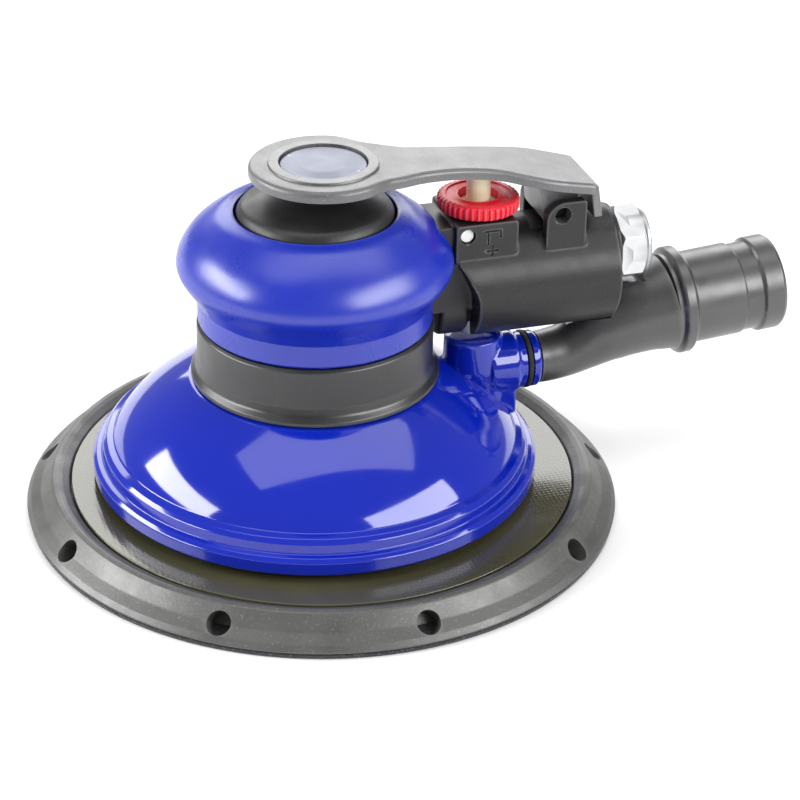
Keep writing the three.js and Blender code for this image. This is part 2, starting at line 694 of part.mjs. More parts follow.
function shroud() {
  const opening = snapRadius + GAP;
  const inner = shroudOutline(SHROUD_WALL).slice(1, -1);
  const profile = [
    ...shroudOutline(0),
    [opening, shroudTop],
    [opening, shroudTop - SHROUD_WALL],
    [inner.at(-1)[0] - 3, shroudTop - SHROUD_WALL],
    ...inner.reverse(),
    [SKIRT_RADIUS - SHROUD_WALL, SKIRT_BOTTOM],
  ];
  const nose = valveX - 8.8;
  const port = alongX(
    turned([
      [0, nose],
      [3.4, nose + 1],
      [PORT_RADIUS - 1.2, nose + 4.4],
      [PORT_RADIUS, nose + 9],
      [PORT_RADIUS, portEnd],
      [0, portEnd],
    ]),
    portHeight,
  );
  const collar = alongX(disc(PORT_RADIUS + 0.9, nose + 11.5, portEnd - 6, MEDIUM), portHeight);
  const drop = disc(PORT_RADIUS, SKIRT_BOTTOM + 9, portHeight, MEDIUM).translate(portEnd - 14, 0, 0);
  const hollow = turned([[0, 0], ...shroudOutline(SHROUD_WALL), [0, shroudTop - SHROUD_WALL]].filter(
    ([r, z]) => r === 0 || z < shroudTop - SHROUD_WALL,
  ), LARGE);
  const duct = alongX(disc(PORT_RADIUS - PORT_WALL, nose + 5, portEnd + 1, MEDIUM), portHeight);
  const groove = alongX(ring(PORT_RADIUS + 2, PORT_RADIUS - 0.9, portEnd - 4, portEnd - 2.2), portHeight);
  const boss = join(port, collar, drop);
  const shell = solid(turned(profile, LARGE)).add(cut(boss, hollow));
  const tailRoom = alongX(
    disc(PORT_RADIUS + GAP, portEnd + GAP / 2, portEnd + PAD_RADIUS, MEDIUM),
    portHeight,
  );
  return piece("shroud", cut(shell, duct, groove, tailRoom), "shroudPlastic");
}

function portRing() {
  const ringShape = ring(PORT_RADIUS + 0.2, PORT_RADIUS - 0.9 + GAP, portEnd - 3.8, portEnd - 2.5);
  return piece("port_o_ring", alongX(ringShape, portHeight), "blackRubber");
}

// ---- Motor housing ------------------------------------------------------------------------------
// Handle barrel, stub, neck and regulator block; grown by a clearance, they cut the grip.
function handleShapes(grow) {
  const front = ringRadius + 5.5;
  const barrel = alongX(
    turned([
      [0, front - grow],
      [HANDLE_RADIUS - 3.5 + grow, front - grow],
      [HANDLE_RADIUS - 0.9 + grow, front + 1 - grow],
      [HANDLE_RADIUS + grow, front + 3.5 - grow],
      [HANDLE_RADIUS + grow, handleEnd + grow],
      [0, handleEnd + grow],
    ]),
    handleZ,
  );
  const stub = alongX(
    turned([
      [0, ringRadius + 0.8 - grow],
      [STUB_RADIUS - 1.5 + grow, ringRadius + 0.8 - grow],
      [STUB_RADIUS + grow, ringRadius + 2.2 - grow],
      [STUB_RADIUS + grow, front + 3],
      [0, front + 3],
    ]),
    handleZ - HANDLE_RADIUS + STUB_RADIUS + 0.5,
  );
  const half = NECK_WIDTH / 2 + grow;
  const neck = box(housingRadius - 2.2, front + 4, -half, half, gripBottom + 0.2, cavityTop + 0.7 + grow);
  const wide = BLOCK_WIDTH / 2 + grow;
  const left = valveX - 8.8 - grow;
  const right = valveX + 7.4 + grow;
  const block = slab(
    [
      [left, handleZ + BLOCK_FOOT - grow, 0],
      [right, handleZ + BLOCK_FOOT - grow, 4],
      [right, blockTop + grow, 0.8],
      [left, blockTop + grow, 0.8],
    ],
    -wide,
    wide,
  );
  return [barrel, stub, neck, block, shoulder(front + 0.4 - grow, handleEnd + grow, grow)];
}

// The outline around the barrel and the smaller inlet above it, swept along the handle.
function shoulder(from, to, grow) {
  const low = HANDLE_RADIUS + grow - 0.3;
  const high = INLET_BOSS + grow;
  const shape = new THREE.Shape();
  if (low - high >= INLET_RISE) {
    shape.absarc(handleZ, 0, low, 0, 2 * Math.PI);
  } else {
    const lean = Math.asin((low - high) / INLET_RISE);
    shape.absarc(handleZ, 0, low, Math.PI / 2 + lean, (3 * Math.PI) / 2 - lean);
    shape.absarc(inletZ, 0, high, lean - Math.PI / 2, Math.PI / 2 - lean);
  }
  const extruded = new THREE.ExtrudeGeometry(shape, { depth: to - from, bevelEnabled: false, curveSegments: 8 });
  return extruded.rotateY(-Math.PI / 2).translate(to, 0, 0);
}

// Room around the wheel, which the housing and the grip stay out of.
function wheelRoom() {
  return disc(WHEEL_RADIUS + RUN, blockTop + GAP / 2, leverUnderStem, MEDIUM).translate(valveX, 0, 0);
}

function ears() {
  const outer = BLOCK_WIDTH / 2;
  const outline = [
    [pivotX - 4.2, handleZ + 8, 0],
    [pivotX + 6.3, handleZ + 8, 0],
    [pivotX + 6.3, pivotZ + 3.4, 0.8],
    [pivotX - 4.2, pivotZ + 3.4, 5],
  ];
  return [slab(outline, -outer, EAR_THICKNESS - outer), slab(outline, outer - EAR_THICKNESS, outer)];
}

function pinAcross(radius, half) {
  return disc(radius, -half, half, SMALL).rotateX(Math.PI / 2).translate(pivotX, 0, pivotZ);
}

function housingShell() {
  const rim = gripOpening - 0.5;
  return turned(
    [
      [0, domeTop],
      [8, domeTop - 0.4],
      [14, domeTop - 1.5],
      [rim - 1.2, domeTop - 3.2],
      [rim, domeTop - 4.8],
      [rim, gripTop - 2.6],
      [housingRadius, cavityTop + 1.4],
      [housingRadius, lowerPlateBottom],
      [0, lowerPlateBottom],
    ],
    LARGE,
  );
}

// Air ways: inlet to valve, valve to motor, and motor to exhaust.
function airWays() {
  const sideY = HANDLE_RADIUS - 4.5;
  const low = handleZ - 5.5;
  const inlet = alongX(disc(4, valveX, handleEnd), inletZ);
  const thread = alongX(
    disc(INLET_THREAD_RADIUS + GAP, handleEnd - 7, handleEnd + INLET_BOSS_LENGTH + 1),
    inletZ,
  );
  const feed = alongX(disc(2, MOTOR_RADIUS - 1, valveX, SMALL), upperPlateTop - 2.6);
  const exhaust = alongX(disc(2, 18, exhaustX, SMALL), low).translate(0, sideY, 0);
  const cross = disc(2, 0, sideY, SMALL).rotateX(-Math.PI / 2).translate(exhaustX, 0, low);
  const outlet = disc(EXHAUST_BORE, handleZ - HANDLE_RADIUS - 3, handleZ - 2.6, MEDIUM);
  return [inlet, thread, feed, exhaust, cross, outlet.translate(exhaustX, 0, 0)];
}

function motorHousing() {
  const boss = alongX(disc(INLET_BOSS, handleEnd - 2, handleEnd + INLET_BOSS_LENGTH), inletZ);
  const cavity = turned(
    [
      [0, lowerPlateBottom - 2],
      [cavityRadius, lowerPlateBottom - 2],
      [cavityRadius, cavityTop],
      [UPPER_BEARING.outer + 3, cavityTop],
      [UPPER_BEARING.outer + 1, cavityTop + 3],
      [0, cavityTop + 3],
    ],
    LARGE,
  );
  const valveBore = disc(VALVE_BORE, handleZ - HANDLE_RADIUS - 1, blockTop + 1).translate(valveX, 0, 0);
  const whole = join(housingShell(), ...handleShapes(0), ...ears(), boss);
  const portRoom = alongX(
    disc(PORT_RADIUS + 0.9 + RUN, housingRadius, exhaustX + EXHAUST_BORE, MEDIUM),
    portHeight,
  );
  const lugHalf = BLOCK_WIDTH / 2 - EAR_THICKNESS;
  const lugRoom = box(pivotX - 6.5, pivotX + 7, -lugHalf, lugHalf, pivotZ - 4.7, blockTop + 5);
  const dotHole = alongY(disc(2, 0, 1.1, SMALL), valveX - 5.8, blockTop - 2.9, -BLOCK_WIDTH / 2 - 0.1);
  return piece(
    "motor_housing",
    cut(whole, cavity, valveBore, wheelRoom(), portRoom, lugRoom, pinAcross(LEVER_PIN + GAP, 20), dotHole, ...airWays()),
    "blackPlastic",
  );
}

// Turns a piece made about Z so that it runs along +Y from a point.
function alongY(geometry, x, z, y) {
  return geometry.rotateX(-Math.PI / 2).translate(x, y, z);
}

function indexDot() {
  const dot = disc(1.7, 0, 0.7, SMALL);
  return piece("index_dot", alongY(dot, valveX - 5.8, blockTop - 2.9, -BLOCK_WIDTH / 2 + 0.05), "whitePlastic");
}

function palmGrip() {
  const neckRadius = housingRadius + 2.6;
  const outer = new THREE.SplineCurve([
    new THREE.Vector2(neckRadius, gripBottom + 6),
    new THREE.Vector2(neckRadius + 1.6, gripBottom + 9),
    new THREE.Vector2(gripBulge, gripBottom + 15.2),
    new THREE.Vector2(gripBulge - 2.9, gripTop - 7),
    new THREE.Vector2(gripOpening + 5, gripTop - 1.6),
    new THREE.Vector2(gripOpening + 1, gripTop),
  ]);
  const profile = [
    [housingRadius + GAP, gripBottom],
    [neckRadius - 0.6, gripBottom],
    [neckRadius, gripBottom + 0.6],
    ...outer.getPoints(9).map(({ x, y }) => [x, y]),
    [gripOpening, gripTop - 0.4],
    [gripOpening, gripTop - 2.2],
    [housingRadius + GAP, cavityTop + 2],
  ];
  return piece("palm_grip", cut(solid(turned(profile, LARGE)), ...handleShapes(GAP), wheelRoom()), "gripRubber");
}

// ---- Inlet --------------------------------------------------------------------------------------
function inletBushing() {
  const hexStart = handleEnd + INLET_BOSS_LENGTH + GAP;
  const hexEnd = hexStart + INLET_HEX_LENGTH;
  const hex = alongX(disc(INLET_HEX + 0.6, hexStart, hexEnd, 6), inletZ);
  const shank = alongX(disc(INLET_THREAD_RADIUS, handleEnd - 6, hexStart + 1), inletZ);
  const lip = alongX(disc(INLET_HEX - 0.4, hexEnd - 1, inletEnd), inletZ);
  const bore = alongX(disc(INLET_BORE + 1, handleEnd - 7, inletEnd + 1), inletZ);
  return piece("inlet_bushing", cut(join(hex, shank, lip), bore), "aluminium");
}

function inletScreen() {
  const shape = new THREE.Shape().absarc(0, 0, INLET_BORE + 0.6, 0, 2 * Math.PI);
  for (let i = 0; i < 6; i++) {
    const angle = (Math.PI * i) / 3;
    const hole = new THREE.Path();
    hole.absarc(2.6 * Math.cos(angle), 2.6 * Math.sin(angle), 0.9, 0, 2 * Math.PI);
    shape.holes.push(hole);
  }
  const sheet = new THREE.ExtrudeGeometry(shape, { depth: 0.8, bevelEnabled: false, curveSegments: 3 });
  return piece("inlet_screen", alongX(sheet.translate(0, 0, handleEnd - 4), inletZ), "steel");
}

// ---- Throttle valve, on a vertical axis through the regulator block -----------------------------
function valveSeat() {
  return piece("valve_seat", ring(VALVE_BORE - GAP, STEM_RADIUS + 0.2, seatBottom, seatTop, SMALL), "aluminium");
}

function valveStem() {
  const profile = [
    [0, valveDiscBottom - 1],
    [3.6, valveDiscBottom - 1],
    [3.6, valveDiscBottom - GAP],
    [STEM_ROD, valveDiscBottom - GAP],
    [STEM_ROD, seatTop + VALVE_TRAVEL + RUN],
    [STEM_RADIUS, seatTop + VALVE_TRAVEL + RUN],
    [STEM_RADIUS, leverUnderStem - GAP - 0.5],
    [STEM_RADIUS - 0.5, leverUnderStem - GAP],
    [0, leverUnderStem - GAP],
  ];
  return piece("valve_stem", turned(profile, SMALL), "creamPlastic");
}

function valveDisc() {
  const rubber = ring(4.6, STEM_ROD + GAP, valveDiscBottom, valveDiscTop, SMALL);
  return piece("valve_disc", rubber, "blackRubber");
}

class Helix extends THREE.Curve {
  constructor(radius, bottom, top, turns) {
    super();
    Object.assign(this, { radius, bottom, top, turns });
  }

  getPoint(t, target = new THREE.Vector3()) {
    const angle = 2 * Math.PI * this.turns * t;
    const z = this.bottom + (this.top - this.bottom) * t;
    return target.set(this.radius * Math.cos(angle), this.radius * Math.sin(angle), z);
  }
}

function valveSpring() {
  const section = new THREE.Shape().absarc(0, 0, SPRING_WIRE, 0, 2 * Math.PI);
  const bottom = plugTop + GAP + SPRING_WIRE;
  const top = valveDiscBottom - 1 - GAP - SPRING_WIRE;
  const extrudePath = new Helix(STEM_RADIUS - 0.1, bottom, top, SPRING_TURNS);
  const steps = SPRING_TURNS * 9;
  const wire = new THREE.ExtrudeGeometry(section, { extrudePath, steps, bevelEnabled: false, curveSegments: 2 });
  return piece("valve_spring", wire, "steel");
}

function valvePlug() {
  const bottom = handleZ - HANDLE_RADIUS + 1;
  const plug = solid(disc(VALVE_BORE - GAP, bottom, plugTop, MEDIUM));
  const slot = box(-7, 7, -0.8, 0.8, bottom - 1, bottom + 1.6);
  return piece("valve_plug", cut(plug, slot), "aluminium");
}

// ---- Speed regulator, which turns about the valve axis ------------------------------------------
function regulatorCore() {
  const bottom = seatTop + GAP;
  const tube = solid(ring(VALVE_BORE - RUN, STEM_RADIUS + RUN + 0.1, bottom, blockTop - 0.2, MEDIUM));
  const windowHeight = upperPlateTop - 2.6;
  const window = box(-8, 0, -2.2, 2.2, windowHeight - 1.8, windowHeight + 1.8);
  return piece("regulator_core", cut(tube, window), "aluminium");
}

function regulatorWheel() {
  const shape = new THREE.Shape();
  const points = WHEEL_TEETH * 4;
  for (let i = 0; i < points; i++) {
    const angle = (2 * Math.PI * i) / points;
    const radius = i % 4 < 2 ? WHEEL_RADIUS : WHEEL_RADIUS - 0.7;
    if (i === 0) shape.moveTo(radius, 0);
    else shape.lineTo(radius * Math.cos(angle), radius * Math.sin(angle));
  }
  shape.closePath();
  shape.holes.push(new THREE.Path().absarc(0, 0, WHEEL_HOLE, 0, 2 * Math.PI));
  const rim = new THREE.ExtrudeGeometry(shape, { depth: WHEEL_HEIGHT, bevelEnabled: false, curveSegments: 8 });
  return piece("regulator_wheel", rim.translate(0, 0, blockTop + GAP), "redPlastic");
}

function stemBush() {
  const bottom = blockTop + GAP;
  return piece("stem_bush", ring(WHEEL_HOLE - GAP, STEM_RADIUS + RUN, bottom, bottom + 1.6, SMALL), "creamPlastic");
}

// ---- Lever --------------------------------------------------------------------------------------
// Drop of the lever's top below the palm disc at a distance along the handle.
function leverDrop(x) {
  const stations = [[DISC_X + DISC_RADIUS * 0.6, 0], ...LEVER_ARM.map(([share, drop]) => [share * pivotX, drop])];
  const next = stations.findIndex(([at]) => at >= x);
  if (next <= 0) return next === 0 ? 0 : stations.at(-1)[1];
  const [[x0, drop0], [x1, drop1]] = [stations[next - 1], stations[next]];
  return drop0 + ((x - x0) / (x1 - x0)) * (drop1 - drop0);
}

function leverSection(x, halfWidth, drop) {
  const top = leverTop - drop;
  const bottom = top - LEVER_THICKNESS;
  const edge = Math.min(1.2, halfWidth * 0.4);
  const outline = [
    [halfWidth - edge, top],
    [edge - halfWidth, top],
    [-halfWidth, top - edge],
    [-halfWidth, bottom],
    [halfWidth, bottom],
    [halfWidth, top - edge],
  ];
  return outline.map(([y, z]) => new THREE.Vector3(x, y, z));
}

function throttleLever() {
  const discSteps = [-0.97, -0.88, -0.74, -0.55, -0.3, 0, 0.3, 0.55];
  const discSections = discSteps.map((share) => {
    return leverSection(DISC_X + share * DISC_RADIUS, DISC_RADIUS * Math.sqrt(1 - share * share), 0);
  });
  const armSections = LEVER_ARM.map(([share, drop, half]) => leverSection(share * pivotX, half, drop));
  const plate = loft([...discSections, ...armSections]);
  const ridge = ring(14.4, 12.4, leverTop - 1, leverTop + 0.5).translate(DISC_X, 0, 0);
  const rearX = LEVER_ARM.at(-1)[0] * pivotX;
  const rearTop = leverTop - LEVER_ARM.at(-1)[1];
  const rear = slab(
    [
      [rearX - 1, rearTop - 0.1, 0],
      [rearX + 1.4, rearTop - 1.2, 0.8],
      [rearX + 2.4, rearTop - 9, 0.5],
      [rearX, rearTop - 9, 0],
    ],
    -9.8,
    9.8,
  );
  const lugHalf = BLOCK_WIDTH / 2 - EAR_THICKNESS - RUN;
  const lug = slab(
    [
      [pivotX - 4, pivotZ - 3.6, 3],
      [pivotX + 4, pivotZ - 3.6, 3],
      [pivotX + 5.4, leverTop - leverDrop(pivotX + 5) - 1, 0],
      [pivotX - 5.4, leverTop - leverDrop(pivotX - 5) - 1.6, 0],
    ],
    -lugHalf,
    lugHalf,
  );
  const recess = disc(BADGE_RADIUS + 0.4, leverTop - BADGE_DEPTH, leverTop + 2).translate(DISC_X, 0, 0);
  const whole = join(plate, ridge, rear, lug);
  return piece("throttle_lever", cut(whole, recess, pinAcross(LEVER_PIN + RUN, 8)), "leverPlastic");
}

function leverBadge() {
  const bottom = leverTop - BADGE_DEPTH + GAP;
  const profile = [
    [0, bottom],
    [BADGE_RADIUS, bottom],
    [BADGE_RADIUS, bottom + 0.7],
    [BADGE_RADIUS - 1, bottom + 1],
    [0, bottom + 1.3],
  ];
  return piece("lever_badge", turned(profile).translate(DISC_X, 0, 0), "aluminium");
}

function leverPin() {
  return piece("lever_pin", pinAcross(LEVER_PIN, BLOCK_WIDTH / 2 - 0.4), "steel");
}

// ---- Hose tail ----------------------------------------------------------------------------------
// Rings square to a centre line given by stations of x, height and radius.
function legRings(stations) {
  const centres = stations.map(([x, z]) => new THREE.Vector2(x, z));
  return stations.map(([x, z, radius], i) => {
    const before = centres[Math.max(i - 1, 0)];
    const after = centres[Math.min(i + 1, centres.length - 1)];
    const along = i === 0 ? new THREE.Vector2(1, 0) : after.clone().sub(before).normalize();
    return Array.from({ length: MEDIUM }, (_, j) => {
      const angle = (2 * Math.PI * j) / MEDIUM;
      const side = radius * Math.cos(angle);
      const up = radius * Math.sin(angle);
      return new THREE.Vector3(x - along.y * up, side, z + along.x * up);
    });
  });
}

function tailBarrel(profile) {
  const barrel = turned(profile, MEDIUM).rotateY(Math.PI / 2 - radians(TAIL_TILT));
  return barrel.translate(tailBarrelX, 0, tailBarrelZ);
}

function hoseTail() {
  const radius = tailLeg.at(-1)[2];
  const outside = tailBarrel([
    [0, -0.4],
    [radius, -0.4],
    [radius, 0.8],
    [FLANGE_RADIUS, 1.3],
    [FLANGE_RADIUS, 4],
    [BARREL_RADIUS, 4.8],
    [BARREL_RADIUS, BARREL_LENGTH * 0.62],
    [BARREL_RADIUS - 0.5, BARREL_LENGTH * 0.64],
    [BARREL_RADIUS - 0.5, BARREL_LENGTH - 6.4],
    [BARREL_RADIUS + 0.4, BARREL_LENGTH - 5.6],
    [BARREL_RADIUS + 0.4, BARREL_LENGTH - 0.8],
    [BARREL_RADIUS, BARREL_LENGTH],
    [0, BARREL_LENGTH],
  ]);
  const mouth = tailBarrel([
    [0, -8],
    [BARREL_BORE - 0.7, -8],
    [BARREL_BORE, 3],
    [BARREL_BORE, BARREL_LENGTH + 1],
    [0, BARREL_LENGTH + 1],
  ]);
  const bore = loft(legRings(tailDuct));
  const spigotBottom = tailLeg[2][1];
  const spigotTop = handleZ - HANDLE_RADIUS + 6;
  const spigot = disc(EXHAUST_BORE - GAP, spigotBottom, spigotTop).translate(exhaustX, 0, 0);
  const spigotBore = disc(EXHAUST_BORE - GAP - 1.4, spigotBottom - 2, spigotTop + 1).translate(exhaustX, 0, 0);
  const nut = alongX(disc(INLET_HEX + 0.6 + GAP, handleEnd - 1, inletEnd + GAP), inletZ);
  const leg = cut(join(loft(legRings(tailLeg)), outside), handleShapes(GAP)[0], nut);
  const whole = leg.add(solid(spigot));
  return piece("hose_tail", cut(whole, bore, mouth, spigotBore), "blackPlastic");
}

// Exhaust air leaves this nozzle along the barrel and draws the dust air after it.
function ejectorNozzle() {
  const wall = new THREE.Shape().absarc(0, 0, NOZZLE_RADIUS, 0, 2 * Math.PI);
  wall.holes.push(new THREE.Path().absarc(0, 0, NOZZLE_BORE, 0, 2 * Math.PI));
  const top = handleZ - HANDLE_RADIUS + 5;
  const path = [
    [0, top - 0.5],
    [0, top - 5],
    [0.2, top - 8.7],
    [1.8, top - 11],
    [4.5, top - 11.6],
    [9, top - 10.4],
    [13.5, top - 7.7],
    [16.5, top - 6],
  ];
  const extrudePath = new THREE.CatmullRomCurve3(
    path.map(([along, height]) => new THREE.Vector3(exhaustX + along, 0, height)),
  );
  const tube = new THREE.ExtrudeGeometry(wall, { extrudePath, steps: 16, bevelEnabled: false, curveSegments: 3 });
  const flange = ring(EXHAUST_BORE - 2 * GAP - 1.4, NOZZLE_BORE - 0.1, top - 1.5, top, SMALL);
  return piece("ejector_nozzle", join(tube, flange.translate(exhaustX, 0, 0)), "aluminium");
}

function exhaustMuffler() {
  const top = handleZ - 2.6 - GAP;
  const plug = disc(EXHAUST_BORE - GAP, top - 2.4, top, SMALL).translate(exhaustX, 0, 0);
  return piece("exhaust_muffler", plug, "felt");
}

// ---- Assembly -----------------------------------------------------------------------------------
const lowerBearing = bearing(
  LOWER_BEARING,
  lowerBearingBottom,
  "lower_bearing_outer_race",
  "lower_bearing_inner_race",
  "lower_bearing_balls",
);
const upperBearing = bearing(
  UPPER_BEARING,
  upperBearingBottom,
  "upper_bearing_outer_race",
  "upper_bearing_inner_race",
  "upper_bearing_balls",
);
const spindleBearing = bearing(
  SPINDLE_BEARING,
  spindleBearingBottom,
  "spindle_bearing_outer_race",
  "spindle_bearing_inner_race",
  "spindle_bearing_balls",
);

const housing = new THREE.Group();
housing.add(motorHousing(), palmGrip(), lockRing(), shroud(), portRing(), indexDot());
housing.add(lowerEndPlate(), upperEndPlate(), cylinderLiner(), cylinderPin(), waveWasher(), feltSeal());
housing.add(lowerBearing.outerRace, upperBearing.outerRace);
housing.add(inletBushing(), inletScreen(), leverPin());
housing.add(hoseTail(), ejectorNozzle(), exhaustMuffler());

const turning = new THREE.Group();
turning.add(shaftBalancer(), rotor(), rotorKey(), ...vanes());
turning.add(lowerBearing.innerRace, lowerBearing.cage, upperBearing.innerRace, upperBearing.cage);
turning.add(snapRing("shaft_snap_ring", 4.6, UPPER_BEARING.bore - 0.1, upperPlateTop + 0.2, 0.7));

const pad = new THREE.Group();
pad.position.set(orbitX, orbitY, 0);
pad.add(hookFacing(), padFoam(), padPlate(), padStud(), padWasher(), spindle());
pad.add(spindleBearing.outerRace, spindleBearing.innerRace, spindleBearing.cage);
const retainingBottom = spindleBearingBottom - GAP - 0.9;
pad.add(snapRing("spindle_retaining_ring", SPINDLE_BEARING.outer, 11.2, retainingBottom, 0.9));

const valve = new THREE.Group();
valve.position.set(valveX, 0, 0);
valve.add(valveSeat(), valveStem(), valveDisc(), valveSpring(), valvePlug());
valve.add(regulatorCore(), regulatorWheel(), stemBush());

const lever = new THREE.Group();
lever.add(throttleLever(), leverBadge());

const sander = new THREE.Group();
sander.add(housing, turning, pad, valve, lever);

export default sander;
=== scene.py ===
import math

import bmesh
import bpy
import numpy as np
from mathutils import Matrix, Vector


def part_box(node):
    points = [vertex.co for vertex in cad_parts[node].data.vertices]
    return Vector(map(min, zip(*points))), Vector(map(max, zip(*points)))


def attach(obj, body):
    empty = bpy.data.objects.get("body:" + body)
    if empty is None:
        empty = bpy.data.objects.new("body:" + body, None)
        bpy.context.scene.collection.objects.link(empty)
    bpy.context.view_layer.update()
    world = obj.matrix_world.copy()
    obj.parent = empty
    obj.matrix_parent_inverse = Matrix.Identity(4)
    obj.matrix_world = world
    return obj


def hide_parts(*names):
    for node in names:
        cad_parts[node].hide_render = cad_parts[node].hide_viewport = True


# Lengths are in millimetres unless a name says otherwise. MM turns them into Blender's metres.
MM = 0.001

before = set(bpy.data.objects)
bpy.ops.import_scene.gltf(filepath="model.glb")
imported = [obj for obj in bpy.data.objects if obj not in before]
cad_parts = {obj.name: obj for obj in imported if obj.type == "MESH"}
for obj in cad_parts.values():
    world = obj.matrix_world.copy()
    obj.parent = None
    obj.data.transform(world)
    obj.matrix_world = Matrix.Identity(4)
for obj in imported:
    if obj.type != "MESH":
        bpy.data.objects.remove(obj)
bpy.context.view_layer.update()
scene = bpy.context.scene


def spot(node):
    """Lowest and highest corner of a CAD node in millimetres."""
    low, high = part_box(node)
    return np.array(low) / MM, np.array(high) / MM


# ---- Camera --------------------------------------------------------------------------------------
camera_data = bpy.data.cameras.new("camera")
camera_data.lens = 112.5
camera_data.sensor_width = 36
camera = bpy.data.objects.new("camera", camera_data)
scene.collection.objects.link(camera)
scene.camera = camera
camera.matrix_world = (
    Matrix.Translation((-0.1505, -0.5325, 0.3304))
    @ Matrix.Rotation(math.radians(-18), 4, "Z")
    @ Matrix.Rotation(math.radians(61.24), 4, "X")
    @ Matrix.Rotation(math.radians(1.13), 4, "Z")
)

# ---- Places from the CAD model -------------------------------------------------------------------
PAD_LOW, PAD_HIGH = spot("pad_foam")
PLATE_LOW, PLATE_HIGH = spot("pad_plate")
FACING_LOW, FACING_HIGH = spot("hook_facing")
SHROUD_LOW, SHROUD_HIGH = spot("shroud")
LOCK_HIGH = spot("lock_ring")[1]
GRIP_LOW, GRIP_HIGH = spot("palm_grip")
HOUSING_HIGH = spot("motor_housing")[1]
LEVER_HIGH = spot("throttle_lever")[1]
BADGE_LOW, BADGE_HIGH = spot("lever_badge")
WHEEL_LOW, WHEEL_HIGH = spot("regulator_wheel")
STEM_LOW, STEM_HIGH = spot("valve_stem")
BUSH_LOW, BUSH_HIGH = spot("stem_bush")
NUT_LOW, NUT_HIGH = spot("inlet_bushing")
PIN_LOW, PIN_HIGH = spot("lever_pin")
SEAL_LOW, SEAL_HIGH = spot("port_o_ring")
PLUG_LOW, PLUG_HIGH = spot("valve_plug")

PAD_X, PAD_Y = (PLATE_LOW + PLATE_HIGH)[:2] / 2
PAD_RADIUS = (PAD_HIGH - PAD_LOW)[0] / 2
PLATE_RADIUS = (PLATE_HIGH - PLATE_LOW)[0] / 2
GAP = 0.3
RING_TOP = LOCK_HIGH[2]
RING_BOTTOM = RING_TOP - 14.4
RING_RADIUS = LOCK_HIGH[0] - 1.8
HANDLE_Z = RING_TOP + 5.2
HANDLE_RADIUS = 14.2
HANDLE_END = HOUSING_HIGH[0] - 1.4
HANDLE_FRONT = RING_RADIUS + 5.5
STUB_RADIUS = 8.2
STUB_Z = HANDLE_Z - HANDLE_RADIUS + STUB_RADIUS + 0.5
NECK_TOP = 73.7
NECK_HALF = 8.0
INLET_BORE = 5.2
INLET_Z = (NUT_LOW + NUT_HIGH)[2] / 2
VALVE_X = (WHEEL_LOW + WHEEL_HIGH)[0] / 2
VALVE_BORE = 6.3
BLOCK_LEFT = VALVE_X - 8.8
BLOCK_RIGHT = VALVE_X + 7.4
BLOCK_TOP = WHEEL_LOW[2] - GAP
BLOCK_FOOT = HANDLE_Z + 8.8
BLOCK_HALF = 10.0
EAR_INSIDE = 6.8
DOT_X = VALVE_X - 5.8
DOT_Z = BLOCK_TOP - 2.9
PIVOT_X = (PIN_LOW + PIN_HIGH)[0] / 2
PIVOT_Z = (PIN_LOW + PIN_HIGH)[2] / 2
LEVER_TOP = LEVER_HIGH[2] - 0.5
DOME_TOP = 84.0
SKIRT_RADIUS = SHROUD_HIGH[1]
SKIRT_BOTTOM = SHROUD_LOW[2]
SHROUD_TOP = RING_BOTTOM - GAP
SHROUD_WALL = 2.2
PORT_END = SHROUD_HIGH[0]
PORT_Z = (SEAL_LOW + SEAL_HIGH)[2] / 2
PORT_RADIUS = 7.3


# ---- Shapes --------------------------------------------------------------------------------------
def rounded(corners, closed=False):
    """A line of [across, up, fillet radius] corners, with each corner drawn as an arc."""
    line = []
    count = len(corners)
    for i, corner in enumerate(corners):
        here = np.array(corner[:2], float)
        radius = corner[2] if len(corner) > 2 else 0
        if radius == 0 or (not closed and i in (0, count - 1)):
            line.append(here)
            continue
        back = np.array(corners[i - 1][:2]) - here
        ahead = np.array(corners[(i + 1) % count][:2]) - here
        length_back, length_ahead = np.linalg.norm(back), np.linalg.norm(ahead)
        back, ahead = back / length_back, ahead / length_ahead
        half = math.acos(float(np.clip(back @ ahead, -1, 1))) / 2
        if half > math.radians(89.5):
            line.append(here)
            continue
        reach = min(radius / math.tan(half), length_back * 0.48, length_ahead * 0.48)
        arc = reach * math.tan(half)
        middle = (back + ahead) / np.linalg.norm(back + ahead)
        centre = here + middle * arc / math.sin(half)
        start, end = here + back * reach - centre, here + ahead * reach - centre
        first = math.atan2(start[1], start[0])
        turn = math.atan2(end[1], end[0]) - first
        turn = (turn + math.pi) % (2 * math.pi) - math.pi
        steps = max(2, math.ceil(abs(turn) / math.radians(10)))
        for k in range(steps + 1):
            angle = first + turn * k / steps
            line.append(centre + arc * np.array([math.cos(angle), math.sin(angle)]))
    return line


def spline(points, count):
    """A smooth line through points of any width, at even steps between them."""
    points = np.array(points, float)
    ends = np.vstack([2 * points[0] - points[1], points, 2 * points[-1] - points[-2]])
    result = []
    for step in np.linspace(0, len(points) - 1, count):
        i = min(int(step), len(points) - 2)
        t = step - i
        a, b, c, d = ends[i : i + 4]
        result.append(
            0.5 * (2 * b + (c - a) * t + (2 * a - 5 * b + 4 * c - d) * t**2 + (3 * b - a - 3 * c + d) * t**3)
        )
    return np.array(result)


def mesh_piece(name, points, faces, smooth=35, weld=True):
    """A named mesh object from points in millimetres."""
    mesh = bpy.data.meshes.new(name)
    mesh.from_pydata([tuple(float(v) * MM for v in p) for p in points], [], faces)
    piece = bpy.data.objects.new(name, mesh)
    scene.collection.objects.link(piece)
    tidy_mesh(mesh, weld)
    shade(piece, smooth)
    return piece


